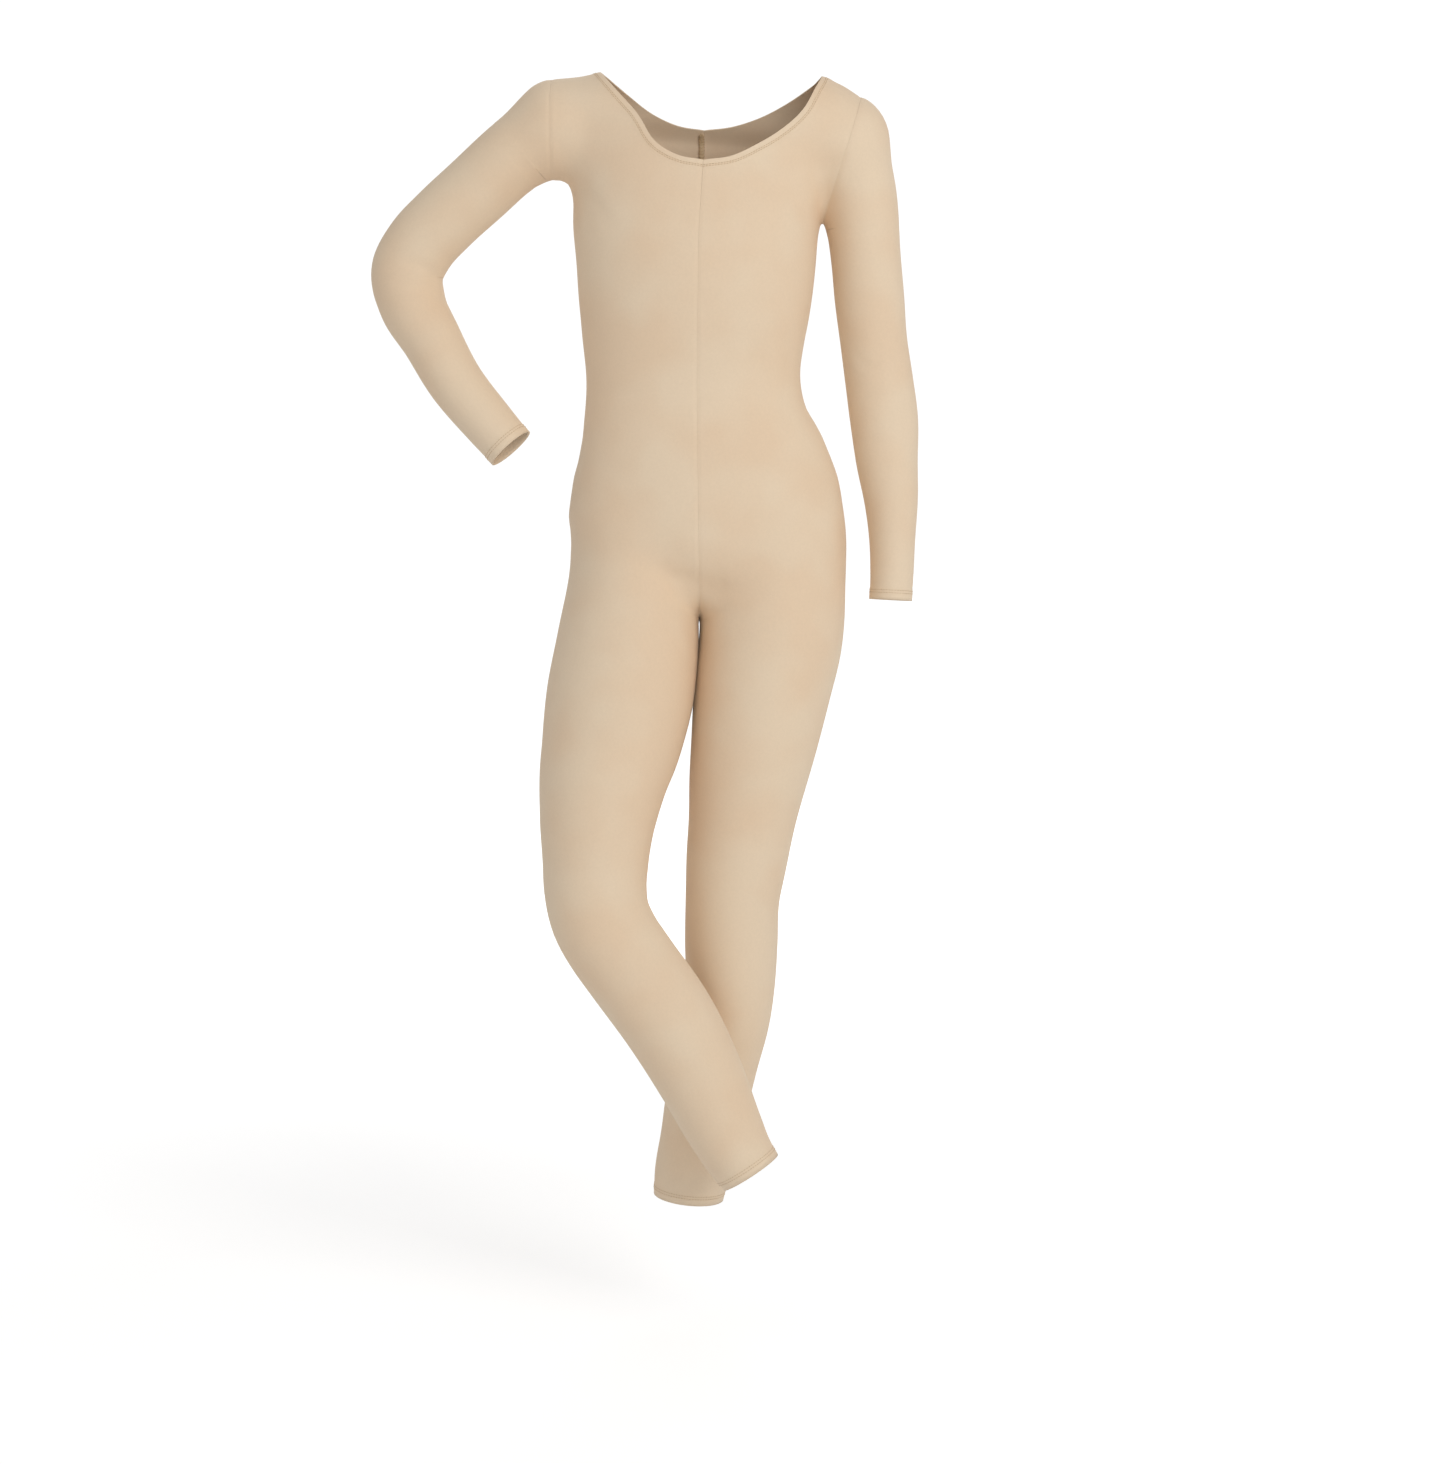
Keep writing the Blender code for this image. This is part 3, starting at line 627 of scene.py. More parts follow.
    def yoke_rows(self, side: Side, face: Face, first_row: np.ndarray) -> np.ndarray:
        """Rows from the first row under the arm up to the neckline and shoulder seam, top row last."""
        armhole = self.armhole_edge(side, face)
        shares = np.array(self.side_shares)[:, None]
        below = self.figure.settle((1 - shares) * first_row[-1] + shares * armhole[0])
        edge = np.concatenate([first_row[-1:], below, armhole])
        lengths = np.linalg.norm(np.diff(edge, axis=0), axis=1)
        steps = np.concatenate([[0.0], np.cumsum(lengths)])
        steps = steps / steps[-1]
        top = self.top_edge(side, face)
        centre = self.centre_points(first_row[0, 2] + (top[0, 2] - first_row[0, 2]) * steps, face)
        centre[-1] = top[0]
        return self.patch(first_row, top, centre, edge, steps)

    def body_grid(self, side: Side, face: Face) -> np.ndarray:
        """Grid of a whole body piece, from the shoulder to the leg hem."""
        trunk = self.trunk_rows(side, face)
        yoke = self.yoke_rows(side, face, trunk[0])
        legs = self.leg_rows(side, face)
        seat = self.seat_rows(side, face, trunk[-1], legs[0])
        return np.concatenate([yoke[:0:-1], trunk, seat[1:-1], legs])

    def sleeve_grid(self, side: Side, count: int = 72) -> np.ndarray:
        """Grid of a sleeve: rings from armhole to cuff, each from the underarm round to it again.

        The first rings fan out from a hinge under the arm, until they are square with the arm.
        """
        middle, under, front = self.armhole_frame(side)
        arm = self.figure.arms[side]
        turn = np.pi * np.concatenate([self.armhole_steps, 2 - self.armhole_steps[-2::-1]])
        hinge = self.figure.reach(middle, under) + self.hinge_drop * under
        start = np.argmin(np.abs(arm.middle[:, 2] - self.sleeve_starts[side]))
        end_under = -side.value * arm.across[start]
        first_reach = np.linalg.norm(middle - hinge)
        last_reach = np.linalg.norm((arm.middle[start] - hinge)[[0, 2]])
        fan = self.fan_steps[:, None]
        toward = unit((1 - fan) * under + fan * end_under)
        centres = hinge - (first_reach + fan * (last_reach - first_reach)) * toward
        middles, across, deep = arm.rings(arm.middle[0, 2], self.cuffs[side], count)
        beyond = (middles - centres[-1]) @ arm.along[start] > self.ring_gap
        starts = np.concatenate([centres, middles[beyond]])
        down = np.concatenate([toward, -side.value * across[beyond]])
        fore = np.concatenate([np.broadcast_to(front, toward.shape), -deep[beyond]])
        rays = np.cos(turn)[None, :, None] * down[:, None] + np.sin(turn)[None, :, None] * fore[:, None]
        grid = self.figure.reach(starts[:, None], rays)
        grid[:, -1] = grid[:, 0]
        return grid


@dataclass(frozen=True)
class Crease:
    """A soft trough in the cloth along a line of points, or a ridge where its depth is below 0.

    Sizes and points are millimetres. The points are near the cloth, which the line is settled on.
    """

    points: tuple[tuple[float, float, float], ...]
    width: float
    depth: float

    def relief(self, figure: Figure, grid: np.ndarray) -> np.ndarray:
        """How far the cloth sinks at each point: a bell across the line, fading to both its ends."""
        steps = 24
        first, last = 0.06, 0.94
        line = figure.settle(along_curve(np.array(self.points) * MM, np.linspace(0, 1, steps)))
        fade = np.sin(np.pi * np.linspace(first, last, steps))
        flat = grid.reshape(-1, 3)
        apart = np.linalg.norm(flat[:, None] - line[None], axis=2) / (self.width * MM)
        bell = (fade * np.exp(-(apart**2))).max(axis=1)
        return (self.depth * MM * bell).reshape(grid.shape[:2])


# Creases at the bends and where the cloth is drawn up, a little different on each side. The hidden
# sides have like ones behind the elbow, under the seat and behind the knees. The last three are ridges:
# one fills the cloth out over the fork, and two where the thighs press on each other.
CREASES = [
    Crease(((-152, -44, -128), (-132, -66, -146), (-108, -84, -168)), 9, 1.6),
    Crease(((-150, -30, -134), (-136, -56, -160), (-124, -72, -188)), 7, 1.1),
    Crease(((-150, 46, -126), (-130, 66, -150), (-104, 82, -176)), 8, 1.3),
    Crease(((116, -26, -162), (121, -44, -134), (126, -54, -104)), 10, 1.3),
    Crease(((112, -44, -170), (104, -66, -150), (92, -80, -126)), 9, 1.1),
    Crease(((116, 32, -160), (120, 50, -132), (125, 58, -104)), 10, 1.2),
    Crease(((-282, -6, -224), (-298, -14, -212), (-318, -16, -206)), 6, 1.3),
    Crease(((-284, 2, -236), (-302, -10, -232), (-326, -14, -230)), 5, 1.0),
    Crease(((-284, 30, -222), (-300, 56, -210), (-322, 60, -204)), 6, 1.2),
    Crease(((-278, 16, -248), (-292, -12, -256), (-312, -16, -262)), 6, 0.9),
    Crease(((142, -20, -300), (156, -28, -312), (176, -28, -318)), 6, 0.7),
    Crease(((146, -18, -352), (164, -28, -346), (186, -26, -338)), 6, 0.7),
    Crease(((-26, 78, -560), (-70, 92, -590), (-116, 76, -596)), 11, 1.4),
    Crease(((-2, 78, -562), (50, 96, -594), (98, 78, -600)), 11, 1.4),
    Crease(((-74, -62, -888), (-92, -100, -896), (-120, -106, -896)), 8, 1.1),
    Crease(((-70, -50, -902), (-84, -96, -918), (-112, -106, -926)), 7, 0.9),
    Crease(((-78, -20, -892), (-110, 4, -890), (-144, -6, -884)), 8, 1.5),
    Crease(((-72, -26, -912), (-98, -2, -912), (-130, -10, -916)), 7, 1.2),
    Crease(((-14, 64, -868), (20, 76, -876), (56, 66, -870)), 8, 1.3),
    Crease(((-10, 68, -892), (22, 78, -900), (52, 68, -896)), 7, 1.0),
    Crease(((52, -112, -1128), (36, -116, -1118), (14, -110, -1106)), 5, 0.8),
    Crease(((56, -98, -1112), (44, -114, -1100), (24, -116, -1090)), 5, 0.7),
    Crease(((-52, 20, -1190), (-38, 6, -1180), (-14, 4, -1176)), 5, 0.8),
    Crease(((-56, 28, -1168), (-40, 2, -1160), (-12, 0, -1162)), 5, 0.6),
    Crease(((-120, -30, -352), (-92, -64, -346), (-50, -78, -344)), 10, 0.6),
    Crease(((-118, 30, -338), (-70, 72, -334), (-20, 80, -338)), 12, 1.0),
    Crease(((-112, 40, -358), (-60, 78, -354), (10, 82, -352)), 12, 0.9),
    Crease(((-58, -78, -510), (-24, -72, -532), (8, -72, -534), (46, -78, -516)), 17, -2.2),
    Crease(((-13, 0, -566), (-15, -4, -620), (-18, -8, -692)), 22, -0.8),
    Crease(((-12, 0, -566), (-12, 0, -620), (-14, 2, -692)), 22, -0.8),
]


@dataclass(frozen=True)
class Make:
    """How the cloth is made up: its thickness and the relief that its seams and hems give it."""

    thickness: float = 1.2 * MM
    seam_dip: float = 0.55 * MM
    seam_width: float = 2.6 * MM
    hem_rise: float = 0.55 * MM
    hem_depth: float = 11 * MM
    hem_step: float = 1.5 * MM
    hem_stitches: tuple[float, float] = (7.4 * MM, 10.2 * MM)
    groove_place: float = 0.8
    groove_width: float = 1.1 * MM
    groove_share: float = 0.55
    neck_depth: float = 8 * MM
    neck_stitches: tuple[float, float] = (5.2 * MM, 6.9 * MM)
    crease_reach: float = 30 * MM


def finer(grid: np.ndarray, axis: int) -> np.ndarray:
    """The grid with a row added between each two, each from its four neighbours as (-1, 9, 9, -1) / 16."""
    a = np.moveaxis(grid, axis, 0)
    first = 3 * a[:1] - 3 * a[1:2] + a[2:3]
    last = 3 * a[-1:] - 3 * a[-2:-1] + a[-3:-2]
    wide = np.concatenate([first, a, last])
    middles = (-wide[:-3] + 9 * wide[1:-2] + 9 * wide[2:-1] - wide[3:]) / 16
    made = np.empty((2 * len(a) - 1, *a.shape[1:]))
    made[::2] = a
    made[1::2] = middles
    return np.moveaxis(made, 0, axis)


def lengths_along(grid: np.ndarray, axis: int) -> np.ndarray:
    """How far each point of the grid lies from the first one, along the given way of the grid."""
    steps = np.linalg.norm(np.diff(grid, axis=axis), axis=2)
    start = np.zeros_like(np.take(steps, [0], axis))
    return np.concatenate([start, np.cumsum(steps, axis=axis)], axis=axis)


def apart_from(line: np.ndarray, grid: np.ndarray) -> np.ndarray:
    """How far each point of the grid lies from a line, as the least of its distances to the line's steps.

    Each step's nearest place is its start plus s times the step, with s, the point's share along it, held
    from 0 to 1.
    """
    flat = grid.reshape(-1, 1, 3)
    steps = np.diff(line, axis=0)
    s = np.clip(((flat - line[:-1]) * steps).sum(2) / (steps**2).sum(1), 0, 1)
    apart = np.linalg.norm(flat - line[:-1] - s[..., None] * steps, axis=2)
    return apart.min(axis=1).reshape(grid.shape[:2])


@dataclass
class ClothPiece:
    """One piece of cloth as a closed thin shell: its grid, its normals, its relief and its mesh."""

    name: str
    grid: np.ndarray
    away: np.ndarray
    tube: bool
    flip: bool
    make: Make
    sink: np.ndarray = field(init=False)
    from_hem: np.ndarray = field(init=False)
    from_neck: np.ndarray | None = None

    def __post_init__(self) -> None:
        """Starts with flat cloth, and works out how far each point lies from the hem."""
        self.sink = np.zeros(self.grid.shape[:2])
        self.from_hem = apart_from(self.grid[-1], self.grid)

    def crease(self, figure: Figure, creases: list[Crease]) -> None:
        """Adds the creases' troughs and ridges."""
        for each in creases:
            self.sink += each.relief(figure, self.grid)

    def press_seam(self, apart: np.ndarray) -> None:
        """Sinks the cloth beside a seam, deepest at the seam, as a bell of the distance from it."""
        self.sink += self.make.seam_dip * np.exp(-((apart / self.make.seam_width) ** 2))

    def turn_hem(self, apart: np.ndarray, depth: float) -> None:
        """Raises the doubled cloth of a hem, with a groove at its stitching and a soft step at its end."""
        make = self.make
        inside = 1 - ease(apart, depth, depth + make.hem_step)
        groove = np.exp(-(((apart - make.groove_place * depth) / make.groove_width) ** 2))
        self.sink -= make.hem_rise * (inside - make.groove_share * groove)

    def outer(self) -> np.ndarray:
        """The outer face with its relief."""
        return self.grid - self.sink[..., None] * self.away

    def row_beside(self, apart: np.ndarray, depth: float, upward: bool = False) -> np.ndarray:
        """A line on the cloth at an even depth from an edge, with the way out of the cloth beside it.

        Args:
            apart: How far each point of the grid lies from the edge.
            depth: How far the line lies from it.
            upward: Whether the edge is the grid's last row, not its first.

        Returns:
            A row of six numbers for each column that the line crosses, and where it leaves the top edge one
            more.
        """
        values = np.concatenate([self.outer(), self.away], axis=2)
        if upward:
            apart, values = apart[::-1], values[::-1]
        crossed = np.flatnonzero(apart[0] < depth)
        line = []
        for k in crossed:
            end = int(np.argmax(apart[:, k] >= depth))
            share = (depth - apart[end - 1, k]) / (apart[end, k] - apart[end - 1, k])
            line.append((1 - share) * values[end - 1, k] + share * values[end, k])
        if len(crossed) < apart.shape[1]:
            k = crossed[-1]
            share = (depth - apart[0, k]) / (apart[0, k + 1] - apart[0, k])
            line.append((1 - share) * values[0, k] + share * values[0, k + 1])
        return np.array(line)

    def build(self, material: bpy.types.Material) -> bpy.types.Object:
        """Makes the shell's mesh: outer face, inner face and rims, with the cut's own UV in metres.

        Args:
            material: The knit.

        Returns:
            The new object, linked to the scene.
        """
        rows, columns = self.grid.shape[:2]
        outer = self.outer()
        inner = self.grid - (self.make.thickness + np.maximum(self.sink, 0))[..., None] * self.away
        index = np.arange(rows * columns).reshape(rows, columns)
        if self.tube:
            index = index.copy()
            index[:, -1] = index[:, 0]
            rims = [index[0], index[-1, ::-1]]
        else:
            rims = [np.concatenate([index[0], index[1:, -1], index[-1, -2::-1], index[-2::-1, 0]])]
        across = lengths_along(self.grid, 1)
        down = lengths_along(self.grid, 0)
        plan = np.stack([across, down.mean(axis=1, keepdims=True) + 0 * down], axis=2)
        before, after = slice(0, -1), slice(1, None)
        corners = [(before, before), (after, before), (after, after), (before, after)]
        quads = np.stack([index[c] for c in corners], axis=-1).reshape(-1, 4)
        marks = np.stack([plan[c] for c in corners], axis=2).reshape(-1, 4, 2)
        turned = [0, 3, 2, 1]
        size = rows * columns
        faces = [quads, quads[:, turned] + size]
        uvs = [marks, marks[:, turned]]
        flat_plan = plan.reshape(-1, 2)
        for rim in rims:
            faces.append(np.stack([rim[:-1], rim[1:], rim[1:] + size, rim[:-1] + size], axis=-1))
            uvs.append(flat_plan[faces[-1] % size])
        faces = np.concatenate(faces)
        uvs = np.concatenate(uvs)
        if self.flip:
            faces, uvs = faces[:, turned], uvs[:, turned]
        points = np.concatenate([outer.reshape(-1, 3), inner.reshape(-1, 3)])
        return mesh_object(self.name, points, faces, material, uvs)


def mesh_object(
    name: str,
    points: np.ndarray,
    faces: np.ndarray,
    material: bpy.types.Material,
    uvs: np.ndarray | None = None,
) -> bpy.types.Object:
    """A smooth mesh object at the origin, from points and faces of one size.

    Args:
        name: The object's name.
        points: Its points, some of which may be used by no face.
        faces: Its faces, as rows of point numbers.
        material: Its one material.
        uvs: A place in the cut for each corner, if it has one.

    Returns:
        The object, linked to the scene.
    """
    used, compact = np.unique(faces, return_inverse=True)
    faces = compact.reshape(faces.shape)
    mesh = bpy.data.meshes.new(name)
    mesh.from_pydata(points[used].tolist(), [], faces.tolist())
    if uvs is not None:
        layer = mesh.uv_layers.new(name="cut")
        layer.data.foreach_set("uv", uvs.reshape(-1).astype(np.float32))
    mesh.shade_smooth()
    mesh.materials.append(material)
    thing = bpy.data.objects.new(name, mesh)
    bpy.context.scene.collection.objects.link(thing)
    return thing


@dataclass(frozen=True)
class StitchRow:
    """A row of machine stitches: short raised dashes of thread that lie along a line on the cloth."""

    pitch: float = 3.0 * MM
    length: float = 2.3 * MM
    radius: float = 0.3 * MM
    lift: float = 0.105 * MM
    blunt_end: float = 0.02
    ring_places: tuple[float, ...] = (-1.0, -0.86, -0.4, 0.4, 0.86, 1.0)
    sides: int = 6

    def mesh_parts(self, line: np.ndarray, normals: np.ndarray) -> tuple[np.ndarray, np.ndarray]:
        """Points and faces of all the stitches on one line, which closes on itself.

        Each stitch is a short tube with round ends, its radius going as the square root of
        1 - t ** 4 along it, and it stands half out of the cloth.

        Args:
            line: Points of the line, on the cloth.
            normals: Which way is out of the cloth at each.

        Returns:
            The points, and the faces as rows of four point numbers.
        """
        line = np.concatenate([line, line[:1]])
        normals = np.concatenate([normals, normals[:1]])
        total = np.linalg.norm(np.diff(line, axis=0), axis=1).sum()
        count = max(int(total / self.pitch), 2)
        starts = (np.arange(count) + 0.5) / count
        half = 0.5 * self.length / total
        tables = np.concatenate([line, normals], axis=1)
        ends = [along_curve(tables, np.clip(starts + sign * half, 0, 1)) for sign in (-1, 1)]
        along = unit(ends[1][:, :3] - ends[0][:, :3])
        middle = (ends[0][:, :3] + ends[1][:, :3]) / 2
        out = unit((ends[0][:, 3:] + ends[1][:, 3:]) / 2)
        side = unit(np.cross(along, out))
        t = np.array(self.ring_places)
        swell = self.radius * np.sqrt(np.maximum(1 - t**4, self.blunt_end))
        turn = (2 * np.pi * np.arange(self.sides) / self.sides)[:, None]
        ring = np.cos(turn) * side[:, None, None] + np.sin(turn) * out[:, None, None]
        points = (
            middle[:, None, None]
            + 0.5 * self.length * t[None, :, None, None] * along[:, None, None]
            + swell[None, :, None, None] * ring
            + self.lift * out[:, None, None]
        )
        rings, sides = len(t), self.sides
        index = np.arange(rings * sides).reshape(rings, sides)
        turned = np.roll(index, -1, 1)
        walls = np.stack([index[:-1], turned[:-1], turned[1:], index[1:]], axis=-1)
        first, last = index[0], index[-1]
        caps = [first[[0, 3, 2, 1]], first[[0, 5, 4, 3]], last[[0, 1, 2, 3]], last[[0, 3, 4, 5]]]
        one = np.concatenate([walls.reshape(-1, 4), np.array(caps)])
        faces = one[None] + (rings * sides * np.arange(count))[:, None, None]
        return points.reshape(-1, 3), faces.reshape(-1, 4)


@dataclass(frozen=True)
class SeamAllowance:
    """The overlocked edge inside a seam: a narrow band that lies on the cloth's inner face."""

    width: float = 5.5 * MM
    height: float = 1.5 * MM
    ridge_pitch: float = 3.2 * MM
    ridge: float = 0.25 * MM
    steps_a_ridge: int = 4
    end_steps: int = 3
    end_size: float = 0.05
    sides: int = 10

    def mesh_parts(
        self, line: np.ndarray, normals: np.ndarray, inset: float
    ) -> tuple[np.ndarray, np.ndarray]:
        """Points and faces of the band along one line.

        Its section is an oval, flat against the cloth, and its size swells by a sine along its length
        as the loops of thread draw it in and let it out.

        Args:
            line: Points of the seam, on the cloth's outer face.
            normals: Which way is out of the cloth at each.
            inset: How deep the band's middle lies under that face.

        Returns:
            The points, and the faces as rows of four point numbers.
        """
        total = np.linalg.norm(np.diff(line, axis=0), axis=1).sum()
        count = int(total / self.ridge_pitch * self.steps_a_ridge)
        table = along_curve(np.concatenate([line, normals], axis=1), np.linspace(0, 1, count))
        path, out = table[:, :3], unit(table[:, 3:])
        along = unit(np.gradient(path, axis=0))
        side = unit(np.cross(along, out))
        sides = self.sides
        turn = 2 * np.pi * np.arange(sides) / sides
        step = np.arange(count)
        swell = 1 + self.ridge / self.height * np.sin(2 * np.pi * step / self.steps_a_ridge)
        ends = np.clip(np.minimum(step, step[::-1]) / self.end_steps, self.end_size, 1)
        size = (swell * ends)[:, None, None]
        points = (
            (path - inset * out)[:, None]
            + 0.5 * self.width * size * np.cos(turn)[None, :, None] * side[:, None]
            + 0.5 * self.height * size * np.sin(turn)[None, :, None] * out[:, None]
        )
        index = np.arange(count * sides).reshape(count, sides)
        turned = np.roll(index, -1, 1)
        walls = np.stack([index[:-1], index[1:], turned[1:], turned[:-1]], axis=-1)
        caps = []
        for ring, order in ((index[0], 1), (index[-1], -1)):
            for k in range(1, sides - 2, 2):
                caps.append(ring[[0, k, k + 1, k + 2]][::order])
        return points.reshape(-1, 3), np.concatenate([walls.reshape(-1, 4), np.array(caps)])


def joined(parts: list[tuple[np.ndarray, np.ndarray]]) -> tuple[np.ndarray, np.ndarray]:
    """Several sets of points and faces as one."""
    shifts = np.cumsum([0] + [len(points) for points, _ in parts[:-1]])
    points = np.concatenate([points for points, _ in parts])
    faces = np.concatenate([faces + shift for (_, faces), shift in zip(parts, shifts)])
    return points, faces


def linear(code: str) -> tuple[float, float, float, float]:
    """An sRGB hex value as linear red, green and blue, and full alpha."""
    parts = [int(code[i : i + 2], 16) / 255 for i in (1, 3, 5)]
    return (*(p / 12.92 if p <= 0.04045 else ((p + 0.055) / 1.055) ** 2.4 for p in parts), 1.0)


def add_node(
    tree: bpy.types.NodeTree, kind: str, settings: dict | None = None, links: dict | None = None
) -> bpy.types.Node:
    """Adds a node to a tree.

    Args:
        tree: The material's node tree.
        kind: The node's type, without the words that all of them start with.
        settings: Its properties by name, and its sockets' values by name or number.
        links: What feeds each socket, by name or number: a node, for its first output, or an output.

    Returns:
        The node.
    """
    node = tree.nodes.new("ShaderNode" + kind)
    for key, value in (settings or {}).items():
        if isinstance(key, str) and hasattr(node, key):
            setattr(node, key, value)
        else:
            node.inputs[key].default_value = value
    for key, source in (links or {}).items():
        output = source.outputs[0] if isinstance(source, bpy.types.Node) else source
        tree.links.new(output, node.inputs[key])
    return node


def add_ramp(
    tree: bpy.types.NodeTree, source: bpy.types.Node, places: tuple[float, float], colours: tuple[str, str]
) -> bpy.types.Node:
    """Turns a node's first output into a colour that runs between two, over a span of its values."""
    ramp = add_node(tree, "ValToRGB", links={"Fac": source})
    for stop, place, colour in zip(ramp.color_ramp.elements, places, colours):
        stop.position = place
        stop.color = linear(colour)
    return ramp


def new_finish(name: str, values: dict[str, object]) -> tuple[bpy.types.Material, bpy.types.Node]:
    """A node-based material, and its Principled shader with the given values on its own sockets."""
    made = bpy.data.materials.new(name)
    made.use_nodes = True
    shader = made.node_tree.nodes["Principled BSDF"]
    for key, value in values.items():
        shader.inputs[key].default_value = value
    return made, shader


@dataclass(frozen=True)
class StretchKnit:
    """Nylon and elastane tricot: a matte, fine, even knit with a soft bloom where it turns away.

    Its wales run the length of each piece. The real ones are 0.6 mm apart; here they are 0.9 mm.
    """

    main: str = "#E6D1B6"
    warm: str = "#E4CBAE"
    roughness: float = 0.82
    sheen: float = 0.22
    wale: float = 0.9 * MM
    course: float = 0.75 * MM
    patch: float = 90 * MM
    fleck: float = 2.5 * MM
    bump: float = 0.12

    def material(self) -> bpy.types.Material:
        """Makes the node-based material."""
        made, shader = new_finish(
            "beige_stretch_tricot",
            {
                "Roughness": self.roughness,
                "Specular IOR Level": 0.28,
                "Sheen Weight": self.sheen,
                "Sheen Roughness": 0.45,
                "Sheen Tint": linear("#FFF4E6"),
            },
        )
        tree = made.node_tree
        place = add_node(tree, "TexCoord").outputs["Object"]
        cut = add_node(tree, "UVMap", {"uv_map": "cut"})
        tone = add_node(tree, "TexNoise", {"Scale": 1 / self.patch, "Detail": 2.0}, {"Vector": place})
        fleck = add_node(tree, "TexNoise", {"Scale": 1 / self.fleck, "Detail": 3.0}, {"Vector": place})
        dye = add_ramp(tree, tone, (0.38, 0.62), (self.main, self.warm))
        depth = add_node(
            tree,
            "MapRange",
            {"From Min": 0.3, "From Max": 0.7, "To Min": 0.985, "To Max": 1.015},
            {"Value": fleck},
        )
        tinted = add_node(tree, "VectorMath", {"operation": "SCALE"}, {0: dye, "Scale": depth})
        ways = add_node(tree, "SeparateXYZ", links={"Vector": cut})
        loops = []
        for axis, pitch in (("X", self.wale), ("Y", self.course)):
            phase = add_node(
                tree, "Math", {"operation": "MULTIPLY", 1: 2 * math.pi / pitch}, {0: ways.outputs[axis]}
            )
            loops.append(add_node(tree, "Math", {"operation": "SINE"}, {0: phase}))
        stitch = add_node(tree, "Math", {"operation": "MULTIPLY_ADD", 1: 0.55}, {0: loops[1], 2: loops[0]})
        raised = add_node(tree, "Bump", {"Strength": self.bump, "Distance": 0.1 * MM}, {"Height": stitch})
        tree.links.new(tinted.outputs["Vector"], shader.inputs["Base Color"])
        tree.links.new(raised.outputs["Normal"], shader.inputs["Normal"])
        return made


@dataclass(frozen=True)
class SewingThread:
    """Textured polyester thread, dyed to the cloth: it shows as a slightly darker, smoother line."""

    colour: str = "#D2B995"
    dark: str = "#BFA27C"
    roughness: float = 0.6
    twist: float = 0.8 * MM

    def material(self) -> bpy.types.Material:
        """Makes the node-based material."""
        made, shader = new_finish(
            "beige_polyester_thread", {"Roughness": self.roughness, "Sheen Weight": 0.15}
        )
        tree = made.node_tree
        place = add_node(tree, "TexCoord").outputs["Object"]
        twist = add_node(tree, "TexNoise", {"Scale": 1 / self.twist, "Detail": 2.0}, {"Vector": place})
        dye = add_ramp(tree, twist, (0.35, 0.65), (self.dark, self.colour))
        raised = add_node(tree, "Bump", {"Strength": 0.3, "Distance": 0.1 * MM}, {"Height": twist})
        tree.links.new(dye.outputs["Color"], shader.inputs["Base Color"])
        tree.links.new(raised.outputs["Normal"], shader.inputs["Normal"])
        return made


